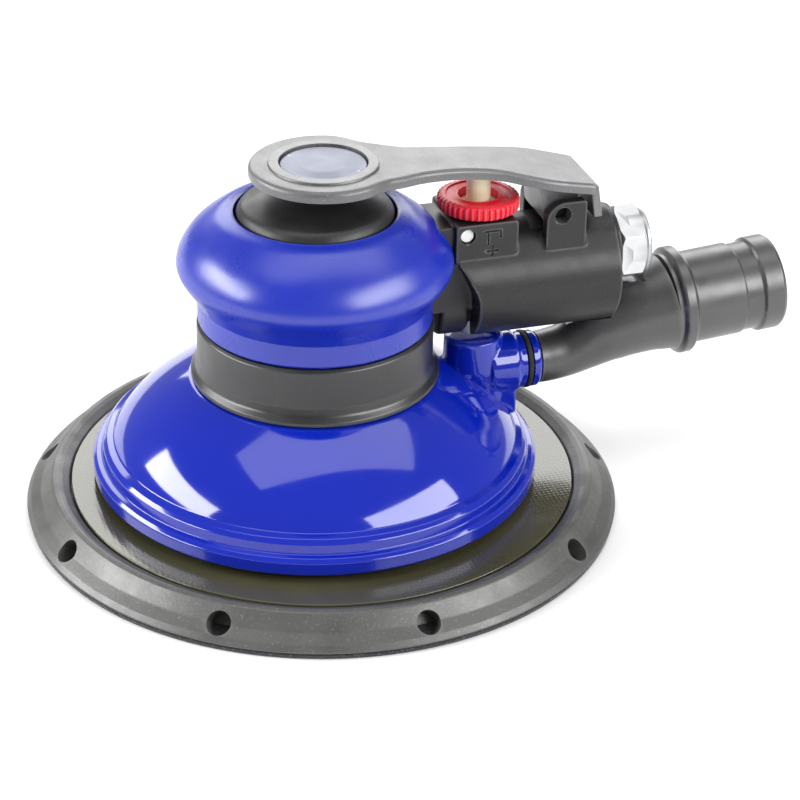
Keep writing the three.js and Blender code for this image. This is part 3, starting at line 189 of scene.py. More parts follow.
def tidy_mesh(mesh, weld=True):
    """Welds doubled points and turns all faces outwards."""
    work = bmesh.new()
    work.from_mesh(mesh)
    if weld:
        bmesh.ops.remove_doubles(work, verts=work.verts, dist=2e-7)
        bmesh.ops.dissolve_degenerate(work, edges=work.edges, dist=1e-7)
    bmesh.ops.recalc_face_normals(work, faces=work.faces)
    work.to_mesh(mesh)
    work.free()


def shade(piece, smooth=35):
    """Smooth shading, with edges sharper than smooth degrees kept crisp."""
    piece.data.shade_smooth()
    piece.data.set_sharp_from_angle(angle=math.radians(smooth))


def lathe(name, outline, centre=(0, 0), steps=192, smooth=35):
    """A turned piece about a vertical axis. An outline that doesn't end on the axis is closed."""
    outline = np.array(outline, float)
    count = len(outline)
    angles = np.linspace(0, 2 * math.pi, steps, endpoint=False)
    points = [
        (centre[0] + r * math.cos(a), centre[1] + r * math.sin(a), z) for a in angles for r, z in outline
    ]
    on_axis = outline[0][0] < 1e-6 and outline[-1][0] < 1e-6
    spans = count - 1 if on_axis else count
    faces = []
    for i in range(steps):
        j = (i + 1) % steps
        for k in range(spans):
            n = (k + 1) % count
            faces.append((i * count + k, j * count + k, j * count + n, i * count + n))
    return mesh_piece(name, points, faces, smooth)


def disc(radius, bottom, top, centre=(0, 0), steps=96, edge=0.0):
    """A plain turned plug, with its rims rounded by edge."""
    outline = rounded([[0, bottom], [radius, bottom, edge], [radius, top, edge], [0, top]])
    return lathe("plug", outline, centre, steps)


def placed(piece, matrix):
    """Bakes a transform, given in millimetres, into the piece's mesh."""
    scale = Matrix.Scale(MM, 4)
    piece.data.transform(scale @ matrix @ scale.inverted())
    return piece


def along_x(piece, height, y=0.0):
    """Lays a piece made about Z along +X at a height."""
    return placed(piece, Matrix.Translation((0, y, height)) @ Matrix.Rotation(math.pi / 2, 4, "Y"))


def slab(name, corners, y0, y1, edge=0.0):
    """An outline in X and Z, with corner radii, as a block between two values of Y."""
    line = rounded(corners, closed=True)
    count = len(line)
    points = [(x, y0, z) for x, z in line] + [(x, y1, z) for x, z in line]
    faces = [tuple(range(count)), tuple(range(2 * count - 1, count - 1, -1))]
    faces += [(i, (i + 1) % count, count + (i + 1) % count, count + i) for i in range(count)]
    piece = mesh_piece(name, points, faces)
    if edge > 0:
        modifier = piece.modifiers.new("edge", "BEVEL")
        modifier.width = edge * MM
        modifier.segments = 3
        modifier.limit_method = "ANGLE"
        modifier.angle_limit = math.radians(40)
        applied(piece)
    return piece


def loft(name, rings, smooth=35):
    """A skin over rings of as many points each, closed at both ends."""
    count = len(rings[0])
    points = [p for ring in rings for p in ring]
    faces = []
    for i in range(len(rings) - 1):
        for j in range(count):
            k = (j + 1) % count
            faces.append((i * count + j, i * count + k, (i + 1) * count + k, (i + 1) * count + j))
    last = (len(rings) - 1) * count
    faces.append(tuple(range(count)))
    faces.append(tuple(range(last + count - 1, last - 1, -1)))
    return mesh_piece(name, points, faces, smooth)


def applied(piece):
    """Turns a piece's modifiers into its mesh."""
    graph = bpy.context.evaluated_depsgraph_get()
    mesh = bpy.data.meshes.new_from_object(piece.evaluated_get(graph))
    piece.modifiers.clear()
    old, piece.data = piece.data, mesh
    bpy.data.meshes.remove(old)
    return piece


def joined(name, *pieces):
    """One object holding the meshes of several, which are used up."""
    work = bmesh.new()
    for piece in pieces:
        work.from_mesh(piece.data)
        bpy.data.objects.remove(piece)
    mesh = bpy.data.meshes.new(name)
    work.to_mesh(mesh)
    work.free()
    piece = bpy.data.objects.new(name, mesh)
    scene.collection.objects.link(piece)
    return piece


def boolean(piece, tools, operation="DIFFERENCE", smooth=35):
    """Cuts tools from a piece, or joins them to it, and uses them up."""
    for tool in tools:
        modifier = piece.modifiers.new("boolean", "BOOLEAN")
        modifier.object = tool
        modifier.operation = operation
        modifier.solver = "EXACT"
    applied(piece)
    for tool in tools:
        bpy.data.objects.remove(tool)
    shade(piece, smooth)
    return piece


def moulded(piece, voxel, rounds, name=None):
    """Melts overlapping solids into one skin with softly rounded edges and inner corners."""
    remesh = piece.modifiers.new("remesh", "REMESH")
    remesh.mode = "VOXEL"
    remesh.voxel_size = voxel * MM
    relax = piece.modifiers.new("relax", "SMOOTH")
    relax.factor = 0.5
    relax.iterations = rounds
    applied(piece)
    piece.data.shade_smooth()
    if name:
        piece.name = name
    return piece


def even(piece):
    """Keeps flat faces flat next to small fillets."""
    modifier = piece.modifiers.new("normals", "WEIGHTED_NORMAL")
    modifier.keep_sharp = True
    modifier.weight = 80
    return piece


# ---- Materials -----------------------------------------------------------------------------------
def linear(code):
    """A hex colour as linear RGBA."""
    values = [int(code[i : i + 2], 16) / 255 for i in (0, 2, 4)]
    return [v / 12.92 if v <= 0.04045 else ((v + 0.055) / 1.055) ** 2.4 for v in values] + [1.0]


def substance(
    name,
    colour,
    roughness,
    tone=None,
    mottle=(60, 0.5),
    speck=None,
    bumps=((2200, 0.15, 0.02),),
    spread=0.06,
    wear=None,
    **sockets,
):
    """A procedural material.

    colour and tone are mixed by soft mottling of (scale per metre, strength), speck adds fine grains of
    (colour, scale, share), bumps are (scale, strength, depth in mm) layers of noise, spread is how far
    the roughness wanders, and wear is (colour, strength) along outer edges. Other values go on the
    shader's sockets by name.
    """
    material = bpy.data.materials.new(name)
    material.use_nodes = True
    nodes, links = material.node_tree.nodes, material.node_tree.links
    shader = nodes["Principled BSDF"]
    place = nodes.new("ShaderNodeTexCoord").outputs["Object"]

    def noise(scale, detail=3.0):
        node = nodes.new("ShaderNodeTexNoise")
        node.inputs["Scale"].default_value = scale
        node.inputs["Detail"].default_value = detail
        links.new(place, node.inputs["Vector"])
        return node.outputs["Fac"]

    def ranged(value, low, high, to_low, to_high):
        node = nodes.new("ShaderNodeMapRange")
        for socket, number in zip(("From Min", "From Max", "To Min", "To Max"), (low, high, to_low, to_high)):
            node.inputs[socket].default_value = number
        links.new(value, node.inputs["Value"])
        return node.outputs["Result"]

    def blend(factor, first, second):
        node = nodes.new("ShaderNodeMix")
        node.data_type = "RGBA"
        links.new(factor, node.inputs["Factor"])
        colours = [s for s in node.inputs if s.type == "RGBA"]
        for socket, value in zip(colours, (first, second)):
            if isinstance(value, list):
                socket.default_value = value
            else:
                links.new(value, socket)
        return [s for s in node.outputs if s.type == "RGBA"][0]

    scale, strength = mottle
    shade_of = blend(
        ranged(noise(scale, 5), 0.35, 0.65, 0, strength), linear(colour), linear(tone or colour)
    )
    if speck:
        grain_colour, grain_scale, share = speck
        grains = ranged(noise(grain_scale, 2), 0.66 - share, 0.72 - share * 0.6, 0, 0.8)
        shade_of = blend(grains, shade_of, linear(grain_colour))
    if wear:
        edge = nodes.new("ShaderNodeNewGeometry").outputs["Pointiness"]
        shade_of = blend(ranged(edge, 0.505, 0.56, 0, wear[1]), shade_of, linear(wear[0]))
    links.new(shade_of, shader.inputs["Base Color"])
    links.new(
        ranged(noise(scale * 2.3, 4), 0.3, 0.7, max(roughness - spread, 0.02), roughness + spread),
        shader.inputs["Roughness"],
    )
    normal = None
    for bump_scale, bump_strength, depth in bumps:
        bump = nodes.new("ShaderNodeBump")
        bump.inputs["Strength"].default_value = bump_strength
        bump.inputs["Distance"].default_value = depth * MM
        links.new(noise(bump_scale, 2), bump.inputs["Height"])
        if normal:
            links.new(normal, bump.inputs["Normal"])
        normal = bump.outputs["Normal"]
    if normal:
        links.new(normal, shader.inputs["Normal"])
    for socket, value in sockets.items():
        shader.inputs[socket.replace("_", " ")].default_value = value
    return material


def woven(name, colour, tone, pitch):
    """Glass cloth under clear resin: two crossing sets of yarns."""
    material = substance(name, colour, 0.16, tone, (45, 0.6), bumps=((900, 0.1, 0.02),), spread=0.05,
                         Coat_Weight=0.5, Coat_Roughness=0.08)
    nodes, links = material.node_tree.nodes, material.node_tree.links
    shader = nodes["Principled BSDF"]
    place = nodes.new("ShaderNodeTexCoord").outputs["Object"]
    waves = []
    for direction in ("X", "Y"):
        wave = nodes.new("ShaderNodeTexWave")
        wave.bands_direction = direction
        wave.inputs["Scale"].default_value = 1 / (pitch * MM) / 3.2
        wave.inputs["Distortion"].default_value = 0.6
        wave.inputs["Detail"].default_value = 1
        links.new(place, wave.inputs["Vector"])
        waves.append(wave.outputs["Fac"])
    checks = nodes.new("ShaderNodeMath")
    checks.operation = "MULTIPLY"
    links.new(waves[0], checks.inputs[0])
    links.new(waves[1], checks.inputs[1])
    bump = nodes.new("ShaderNodeBump")
    bump.inputs["Strength"].default_value = 0.35
    bump.inputs["Distance"].default_value = 0.06 * MM
    links.new(checks.outputs[0], bump.inputs["Height"])
    links.new(bump.outputs["Normal"], shader.inputs["Normal"])
    return material


MATERIALS = {
    "black_plastic": substance(
        "black_plastic", "1d1d1e", 0.4, "19191a", (70, 0.8), ("3a3a3c", 2600, 0.04),
        ((2600, 0.25, 0.03), (700, 0.12, 0.06)), 0.07, ("6a6a6c", 0.7)),
    # The hose tail's black plastic, painted lighter than black_plastic: painted light, a lit copy of the same
    # plastic.
    "tail_plastic_painted_light": substance(
        "tail_plastic_painted_light", "2e2e2f", 0.36, "272728", (70, 0.8), ("454547", 2600, 0.05),
        ((2400, 0.4, 0.04), (700, 0.12, 0.06)), 0.06, ("606062", 0.6), Specular_IOR_Level=1.0,
        Coat_Weight=0.5, Coat_Roughness=0.4),
    "ring_plastic": substance(
        "ring_plastic", "161617", 0.36, "131314", (50, 0.8), ("3c3c3e", 3000, 0.04),
        ((3000, 0.25, 0.02),), 0.05, ("5c5c5e", 0.6), Specular_IOR_Level=0.9),
    "lever_plastic": substance(
        "lever_plastic", "454547", 0.42, "3e3e40", (90, 0.7), ("6a6a6c", 2200, 0.06),
        ((1500, 0.4, 0.05), (3600, 0.3, 0.03)), 0.06, ("767678", 0.5), Specular_IOR_Level=1.0,
        Coat_Weight=0.7, Coat_Roughness=0.45),
    "grip_rubber": substance(
        "grip_rubber", "0a26a6", 0.3, "0822a0", (40, 0.7), ("2c46c0", 3200, 0.03),
        ((3400, 0.15, 0.02), (260, 0.06, 0.12)), 0.04, ("4a60d4", 0.4), Specular_IOR_Level=0.85),
    "shroud_plastic": substance(
        "shroud_plastic", "0320a6", 0.1, "031e9e", (30, 0.6), None,
        ((140, 0.05, 0.1), (1800, 0.05, 0.01)), 0.03, ("4055d0", 0.3), Coat_Weight=0.6, Coat_Roughness=0.05),
    "red_plastic": substance(
        "red_plastic", "ee1028", 0.36, "e00c24", (200, 0.7), ("d84050", 3000, 0.05),
        ((2800, 0.2, 0.02),), 0.06, ("ee6070", 0.5)),
    "cream_plastic": substance(
        "cream_plastic", "fffadc", 0.42, "fcf2c0", (220, 0.7), ("f4ecc4", 3000, 0.04),
        ((2800, 0.2, 0.02),), 0.06, ("fbf6da", 0.4), Subsurface_Weight=0.1, Subsurface_Scale=0.002),
    "white_plastic": substance(
        "white_plastic", "eeeeec", 0.4, "dededc", (300, 0.6), None, ((3000, 0.2, 0.02),), 0.06),
    "aluminium": substance(
        "aluminium", "b8babc", 0.4, "acaeb1", (160, 0.6), ("b4b6ba", 3600, 0.04),
        ((4200, 0.15, 0.01),), 0.05, ("f2f3f4", 0.6), Metallic=1.0),
    "badge_metal": substance(
        "badge_metal", "777a86", 0.38, "6d707c", (60, 0.6), None,
        ((4600, 0.12, 0.01),), 0.05, ("b4b6bc", 0.5), Metallic=0.85),
    "steel": substance(
        "steel", "9a9ca0", 0.28, "7f8185", (200, 0.8), ("6a6c70", 3600, 0.05),
        ((3800, 0.3, 0.02),), 0.09, ("c8cacc", 0.6), Metallic=1.0),
    "black_steel": substance(
        "black_steel", "1c1c1e", 0.5, "161617", (200, 0.8), ("2c2c2e", 3600, 0.05),
        ((3800, 0.3, 0.02),), 0.08, ("3a3a3c", 0.5), Metallic=0.8),
    "black_rubber": substance(
        "black_rubber", "1c1c1d", 0.7, "151516", (120, 0.7), ("303031", 3000, 0.05),
        ((2400, 0.4, 0.04),), 0.08, ("3a3a3b", 0.5)),
    "foam_rubber": substance(
        "foam_rubber", "484846", 0.43, "3c3c3a", (55, 0.9), ("666664", 1900, 0.05),
        ((1500, 0.45, 0.07), (420, 0.25, 0.12)), 0.08, ("6a6a68", 0.5), Specular_IOR_Level=1.0),
    "hook_fabric": substance(
        "hook_fabric", "2c2c30", 0.95, "1f1f23", (80, 0.8), ("55555a", 1700, 0.1),
        ((1400, 0.9, 0.25),), 0.04, Sheen_Weight=0.5, Sheen_Roughness=0.5),
    "glass_fibre": woven("glass_fibre", "4c4a36", "3a3826", 1.1),
    "vane_composite": substance(
        "vane_composite", "5a4632", 0.75, "46351f", (200, 0.8), ("7a6448", 2400, 0.06),
        ((2000, 0.4, 0.04),), 0.08),
    "felt": substance(
        "felt", "b9b4a6", 0.97, "a39d8c", (300, 0.8), ("d6d2c6", 2600, 0.08),
        ((1800, 0.9, 0.2),), 0.02, Sheen_Weight=0.4),
}


def dress(piece, slot, body, *nodes, finish=None):
    """Gives a piece its finish and its body, and puts it in the place of CAD nodes."""
    piece.data.materials.clear()
    piece.data.materials.append(MATERIALS[finish or slot])
    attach(piece, body)
    if nodes:
        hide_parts(*nodes)
    return piece


# ---- Pad -----------------------------------------------------------------------------------------
DUST_CIRCLE = 40.0
DUST_RADIUS = 5.0
DUST_HOLES = 6
JET_HOLES = 9
JET_FIRST = -165.6
PAD_CENTRE = (PAD_X, PAD_Y)


def dust_holes(bottom, top):
    """The ring of dust holes as one cutting tool."""
    holes = []
    for k in range(DUST_HOLES):
        angle = 2 * math.pi * k / DUST_HOLES
        centre = (PAD_X + DUST_CIRCLE * math.cos(angle), PAD_Y + DUST_CIRCLE * math.sin(angle))
        holes.append(disc(DUST_RADIUS, bottom, top, centre, 48))
    return joined("holes", *holes)


def make_pad():
    bottom = PAD_LOW[2]
    ridge = PAD_HIGH[2]
    foam_outline = rounded([
        [0, bottom],
        [PAD_RADIUS - 0.1, bottom, 0.3],
        [PAD_RADIUS, bottom + 0.5, 0.3],
        [PAD_RADIUS - 1.1, bottom + 1.7, 0.5],
        [PAD_RADIUS - 3.6, bottom + 3.6, 3.0],
        [PAD_RADIUS - 6.6, ridge - 0.35, 1.0],
        [PAD_RADIUS - 7.9, ridge - 0.02, 0.9],
        [PAD_RADIUS - 9.1, ridge - 0.5, 0.5],
        [PLATE_RADIUS + 0.7, PLATE_LOW[2] + 1.7, 0.4],
        [PLATE_RADIUS + 0.3, PLATE_LOW[2] + 1.2, 0.2],
        [PLATE_RADIUS + 0.3, PLATE_LOW[2] - 0.3, 0.2],
        [0, PLATE_LOW[2] - 0.3],
    ])
    foam = lathe("backing_pad", foam_outline, PAD_CENTRE, 256)
    jets = []
    slope = math.atan2(ridge - 3.2, PAD_RADIUS - PLATE_RADIUS - 4)
    for k in range(JET_HOLES):
        jet = disc(3.0, -6, 4, steps=64)
        placed(jet, Matrix.Rotation(math.pi / 2 - slope, 4, "Y"))
        placed(jet, Matrix.Translation((PAD_RADIUS - 3.6, 0, ridge / 2 + 0.6)))
        placed(jet, Matrix.Rotation(math.radians(JET_FIRST + 360 / JET_HOLES * k), 4, "Z"))
        jets.append(placed(jet, Matrix.Translation((PAD_X, PAD_Y, 0))))
    boolean(foam, [joined("jets", *jets), dust_holes(-1, 12)])
    dress(even(foam), "foam_rubber", "pad", "pad_foam")

    radius = (FACING_HIGH - FACING_LOW)[0] / 2
    top = FACING_HIGH[2]
    sheet = lathe(
        "facing_sheet",
        rounded([[0, 0], [radius, 0, 0.4], [radius, top, 0.3], [0, top]]),
        PAD_CENTRE, 256,
    )
    boolean(sheet, [dust_holes(-1, 3)])
    dress(even(sheet), "hook_fabric", "pad", "hook_facing")

    low, high = PLATE_LOW[2], PLATE_HIGH[2]
    face = low + 1.9
    plate = lathe(
        "fibre_plate",
        rounded([
            [4.3, low], [PLATE_RADIUS, low, 0.2], [PLATE_RADIUS, face, 0.3], [19, face, 0.8],
            [17, high, 0.4], [4.3, high, 0.2],
        ], closed=True),
        PAD_CENTRE, 256,
    )
    boolean(plate, [dust_holes(-1, 12)])
    dress(even(plate), "glass_fibre", "pad", "pad_plate")


make_pad()


# ---- Shroud --------------------------------------------------------------------------------------
def shroud_line(inset):
    """The shroud's outline from its lip up to the seat under the lock ring."""
    rise = SHROUD_TOP - SKIRT_BOTTOM
    steps = [
        [SKIRT_RADIUS - 0.3, SKIRT_BOTTOM, 0.3],
        [SKIRT_RADIUS, SKIRT_BOTTOM + 0.5, 0.4],
        [SKIRT_RADIUS, SKIRT_BOTTOM + 3.4, 0.7],
        [SKIRT_RADIUS - 0.9, SKIRT_BOTTOM + 4.3, 0.6],
        [SKIRT_RADIUS - 2.3, SKIRT_BOTTOM + 4.6, 0.5],
        [SKIRT_RADIUS - 2.6, SKIRT_BOTTOM + 7.0, 0.8],
        [SKIRT_RADIUS - 3.6, SKIRT_BOTTOM + 8.0, 0.7],
        [SKIRT_RADIUS - 5.4, SKIRT_BOTTOM + 8.6, 0.8],
    ]
    a = np.array([SKIRT_RADIUS - 5.4, SKIRT_BOTTOM + 8.6])
    b = np.array([SKIRT_RADIUS - 9.8, SKIRT_BOTTOM + rise * 0.66])
    c = np.array([30.6, SHROUD_TOP])
    curve = [(1 - t) ** 2 * a + 2 * t * (1 - t) * b + t * t * c for t in np.linspace(0, 1, 29)[1:]]
    return [[r - inset, z - inset * 0.5, *rest] for r, z, *rest in steps + [list(p) for p in curve]]


def make_shroud():
    outer = shroud_line(0)
    inner = shroud_line(SHROUD_WALL)[2:-3][::-1]
    hole = 16.6
    under = SHROUD_TOP - SHROUD_WALL
    outline = rounded(
        outer
        + [[hole, SHROUD_TOP, 0.2], [hole, under, 0.2], [inner[0][0] - 3, under, 0.5]]
        + inner
        + [[SKIRT_RADIUS - SHROUD_WALL, SKIRT_BOTTOM, 0.3]],
        closed=True,
    )
    shell = lathe("dust_shroud", outline, steps=288)

    nose = BLOCK_LEFT
    tip = spline([[nose + 0.3, 0.6], [nose + 1.2, 3.4], [nose + 4.4, 6.1], [nose + 9, PORT_RADIUS]], 24)
    port_line = [[0, nose + 0.2], *([r, x] for x, r in tip)]
    port_line += [[PORT_RADIUS, PORT_END - 0.5], [PORT_RADIUS - 0.5, PORT_END], [0, PORT_END]]
    port = along_x(lathe("port", port_line, steps=128), PORT_Z)
    collar = along_x(disc(PORT_RADIUS + 0.9, nose + 11.5, PORT_END - 6, edge=0.8, steps=128), PORT_Z)
    web = disc(PORT_RADIUS, SKIRT_BOTTOM + 9, PORT_Z, (PORT_END - 14, 0), 96, 0.4)
    cheek = slab(
        "cheek",
        [
            [PORT_END - 18, SKIRT_BOTTOM + 8.8, 0], [PORT_END - 6.9, SKIRT_BOTTOM + 8.8, 0.6],
            [PORT_END - 6.7, PORT_Z, 0], [PORT_END - 18, PORT_Z, 0],
        ],
        -PORT_RADIUS + 0.6, PORT_RADIUS - 0.6,
    )
    boss = disc(7.4, PORT_Z, PORT_Z + PORT_RADIUS + 2.2, (nose + 8.6, 0), 64, 0.6)
    body = moulded(joined("port", port, collar, web, cheek, boss), 0.3, 7, "dust_port")
    fill = lathe(
        "fill",
        [[0, 0], *[[r - 0.8, z - 0.4] for r, z, *_ in shroud_line(0)], [0, SHROUD_TOP - 0.4]],
        steps=160,
    )
    duct = along_x(disc(PORT_RADIUS - 2, nose + 12, PORT_END + 2), PORT_Z)
    groove = along_x(
        lathe(
            "groove",
            [[6.4, PORT_END - 4.1], [12, PORT_END - 4.1], [12, PORT_END - 2.1], [6.4, PORT_END - 2.1]],
            steps=96,
        ),
        PORT_Z,
    )
    boolean(body, [fill, duct, groove])
    dress(even(shell), "shroud_plastic", "housing", "shroud")
    dress(body, "shroud_plastic", "housing", "shroud")

    middle = (SEAL_LOW + SEAL_HIGH)[0] / 2
    half = (SEAL_HIGH - SEAL_LOW)[0] / 2
    seal = lathe(
        "port_seal",
        rounded([
            [6.7, middle - half, 0.2], [PORT_RADIUS + 0.2, middle - half, 0.5],
            [PORT_RADIUS + 0.2, middle + half, 0.5], [6.7, middle + half, 0.2],
        ], closed=True),
        steps=96,
    )
    dress(along_x(seal, PORT_Z), "black_rubber", "housing", "port_o_ring")


make_shroud()


# ---- Lock ring, dome and grip --------------------------------------------------------------------
def make_stack():
    shell = RING_RADIUS - 2.6
    bottom = RING_BOTTOM
    ring = lathe(
        "clamp_ring",
        rounded([
            [20, bottom, 0.2], [RING_RADIUS + 1.7, bottom, 0.3], [RING_RADIUS + 1.7, bottom + 1.0, 0.6],
            [RING_RADIUS + 0.5, bottom + 2.3, 2.0], [RING_RADIUS, bottom + 4.2, 2.0],
            [RING_RADIUS, RING_TOP - 0.7, 0.7], [RING_RADIUS - 0.8, RING_TOP, 0.4],
            [shell, RING_TOP, 0.2], [shell, bottom + 2.2, 0.2], [20, bottom + 2.2, 0.2],
        ], closed=True),
        steps=256,
    )
    dress(even(ring), "ring_plastic", "housing", "lock_ring")

    opening = 19.3
    dome = lathe(
        "motor_dome",
        rounded([
            [0, DOME_TOP], [7, DOME_TOP - 0.25, 30], [13, DOME_TOP - 1.35, 20],
            [opening - 1.1, DOME_TOP - 3.3, 3], [opening, DOME_TOP - 5.0, 1.5],
            [opening, DOME_TOP - 8, 0], [opening, 74.0, 0.5],
            [shell - 0.3, 72, 0.5], [shell - 0.3, 39, 0], [shell - 3.5, 39, 0], [shell - 3.5, 70, 0], [0, 70],
        ]),
        steps=224,
    )
    dress(even(dome), "black_plastic", "housing", "motor_housing")


def grip_tools(grow):
    """The handle's shapes where they pass through the grip, grown by a clearance."""
    barrel = along_x(disc(HANDLE_RADIUS + grow, HANDLE_FRONT + 0.5 - grow, 60, edge=2.6), HANDLE_Z)
    stub = along_x(
        disc(STUB_RADIUS + grow, RING_RADIUS + 0.8 - grow, HANDLE_FRONT + 3, edge=1.5), STUB_Z
    )
    neck = slab(
        "neck",
        [
            [24, RING_TOP + 0.2, 0], [HANDLE_FRONT + 4, RING_TOP + 0.2, 0],
            [HANDLE_FRONT + 4, NECK_TOP + grow, 0], [24, NECK_TOP + grow, 0],
        ],
        -NECK_HALF - grow, NECK_HALF + grow,
    )
    return [barrel, stub, neck, block_shape(grow, 0), shoulder(HANDLE_FRONT + 0.1 - grow, 60, grow)]


def block_shape(grow, edge):
    """The regulator block, grown by a clearance."""
    left, right = BLOCK_LEFT - grow, BLOCK_RIGHT + grow
    return slab(
        "block",
        [
            [left, BLOCK_FOOT - grow, 0], [right, BLOCK_FOOT - grow, 4],
            [right, BLOCK_TOP + grow, 0.8], [left, BLOCK_TOP + grow, 0.8],
        ],
        -BLOCK_HALF - grow, BLOCK_HALF + grow, edge,
    )


def shoulder(start, end, grow=0.0):
    """The outline round the barrel and the smaller inlet above it, swept along the handle."""
    low, high, rise = HANDLE_RADIUS + grow, 10.8 + grow, INLET_Z - HANDLE_Z
    lean = math.asin((low - high) / rise)
    outline = []
    for height, radius, first, last in (
        (HANDLE_Z, low, math.pi / 2 - lean, 3 * math.pi / 2 + lean),
        (INLET_Z, high, lean - math.pi / 2, math.pi / 2 - lean),
    ):
        for angle in np.linspace(first, last, 60):
            outline.append((radius * math.sin(angle), height + radius * math.cos(angle)))
    return loft("shoulder", [[(x, y, z) for y, z in outline] for x in (start, end)])


def make_grip():
    low, top = GRIP_LOW[2], GRIP_HIGH[2]
    bulge = GRIP_HIGH[1]
    neck = RING_RADIUS - 0.3
    outer = spline([
        [neck, low + 6], [neck + 1.6, low + 9], [bulge - 0.03, low + 15.2], [bulge - 2.9, top - 7],
        [24.8, top - 1.6], [20.8, top],
    ], 60)
    line = [[neck - 0.6, low, 0.4], [neck, low + 0.6, 0.5], [neck, low + 4.5, 0]]
    line += [[r, min(z, top)] for r, z in outer]
    line += [[19.9, top - 0.4, 0.4], [19.8, top - 2.2, 0.3], [26.8, 75.0, 0], [26.8, low, 0.2]]
    grip = lathe("palm_cover", rounded(line, closed=True), steps=224)
    boolean(grip, grip_tools(0.3))
    dress(even(grip), "grip_rubber", "housing", "palm_grip")


make_stack()
make_grip()


# ---- Handle --------------------------------------------------------------------------------------
def across_y(piece, x, z, y):
    """Turns a piece made about Z so that it runs along +Y from a point."""
    return placed(piece, Matrix.Translation((x, y, z)) @ Matrix.Rotation(-math.pi / 2, 4, "X"))


def bar(x0, x1, z0, z1, depth):
    """A shallow cut in the block's near face."""
    face = -BLOCK_HALF
    corners = [[x0, z0, 0.1], [x1, z0, 0.1], [x1, z1, 0.1], [x0, z1, 0.1]]
    return slab("mark", corners, face - 1, face + depth)


def make_handle():
    barrel = shoulder(BLOCK_LEFT, HANDLE_END)
    boolean(barrel, [slab(
        "front_cut",
        [
            [20, 30, 0], [39.4, 30, 0], [38.6, 48, 8], [38.2, 56, 8], [35.6, 61.5, 4],
            [33.1, 65.5, 2], [33.0, 80, 0], [20, 80, 0],
        ],
        -30, 30,
    )])
    room = slab(
        "lug_room",
        [[PIVOT_X - 6.5, PIVOT_Z - 4.7, 0], [PIVOT_X + 7, PIVOT_Z - 4.7, 0], [PIVOT_X + 7, 85, 0],
         [PIVOT_X - 6.5, 85, 0]],
        -EAR_INSIDE, EAR_INSIDE,
    )
    stub = along_x(
        disc(STUB_RADIUS, RING_RADIUS + 0.8, HANDLE_FRONT + 3, edge=1.4), STUB_Z
    )
    neck = slab(
        "neck",
        [[24.5, RING_TOP + 0.5, 0], [HANDLE_FRONT + 4, RING_TOP + 0.5, 0],
         [HANDLE_FRONT + 4, NECK_TOP, 0], [24.5, NECK_TOP, 0]],
        -NECK_HALF, NECK_HALF,
    )
    block = block_shape(0, 0)
    ear_line = [
        [PIVOT_X - 4.2, HANDLE_Z + 8, 0], [PIVOT_X + 6.3, HANDLE_Z + 8, 0],
        [PIVOT_X + 6.3, PIVOT_Z + 3.4, 0.8], [PIVOT_X - 4.2, PIVOT_Z + 3.4, 5],
    ]
    ears = [
        slab("ear", ear_line, -BLOCK_HALF, -EAR_INSIDE),
        slab("ear", ear_line, EAR_INSIDE, BLOCK_HALF),
    ]
    boss = along_x(disc(10.4, HANDLE_END - 4, HANDLE_END + 1.4, edge=0.5, steps=128), INLET_Z)
    whole = joined("handle", barrel, stub, neck, block, *ears, boss)
    handle = moulded(whole, 0.32, 5, "motor_handle")
    boolean(handle, [room])

    bore = disc(VALVE_BORE, HANDLE_Z - 20, BLOCK_TOP + 2, (VALVE_X, 0), 96)
    thread = along_x(disc(6.9, HANDLE_END - 7, HANDLE_END + 6), INLET_Z)
    outlet = disc(6.0, HANDLE_Z - 20, HANDLE_Z - 2.6, (PIVOT_X + 7.8, 0), 96)
    pin_hole = across_y(disc(2.2, 0, 40, steps=64), PIVOT_X, PIVOT_Z, -20)
    dot_hole = across_y(disc(2.0, 0, 1.2, steps=64), DOT_X, DOT_Z, -BLOCK_HALF - 0.1)
    x, z = VALVE_X + 0.6, BLOCK_TOP - 2.3
    marks = [
        bar(x - 2.2, x + 2.2, z, z + 0.6, 0.4),
        bar(x + 1.7, x + 2.3, z - 1.6, z + 0.5, 0.4),
        bar(x - 1.5, x - 0.9, z - 3.4, z - 0.1, 0.4),
        bar(x - 1.6, x + 1.6, z - 5.3, z - 4.7, 0.4),
        bar(x - 0.3, x + 0.3, z - 6.4, z - 3.6, 0.4),
    ]
    boolean(handle, [bore, thread, outlet, pin_hole, dot_hole, *marks])
    dress(handle, "black_plastic", "housing", "motor_housing")

    dot = across_y(
        lathe("setting_dot", rounded([[0, 0], [1.7, 0, 0.15], [1.7, 0.75, 0.25], [0, 0.85]]), steps=64),
        DOT_X, DOT_Z, -BLOCK_HALF + 0.8,
    )
    dress(even(dot), "white_plastic", "housing", "index_dot")

    pin = across_y(
        lathe("pivot_pin", rounded([[0, 0], [1.9, 0, 0.3], [1.9, 13.8, 0.3], [0, 13.8]]), steps=64),
        PIVOT_X, PIVOT_Z, -6.9,
    )
    # The steel pin is shown in black steel: painted shade for the dark, recessed pin hole.
    dress(even(pin), "steel", "housing", "lever_pin", finish="black_steel")

    low, high = PLUG_LOW[2], PLUG_HIGH[2]
    plug = lathe(
        "valve_cap", rounded([[0, low], [6.0, low, 0.5], [6.0, high, 0.3], [0, high]]), (VALVE_X, 0), 96
    )
    slot = slab("slot", [[VALVE_X - 7, low - 1, 0], [VALVE_X + 7, low - 1, 0],
                         [VALVE_X + 7, low + 1.6, 0], [VALVE_X - 7, low + 1.6, 0]], -0.8, 0.8)
    boolean(plug, [slot])
    dress(even(plug), "aluminium", "housing", "valve_plug")


make_handle()


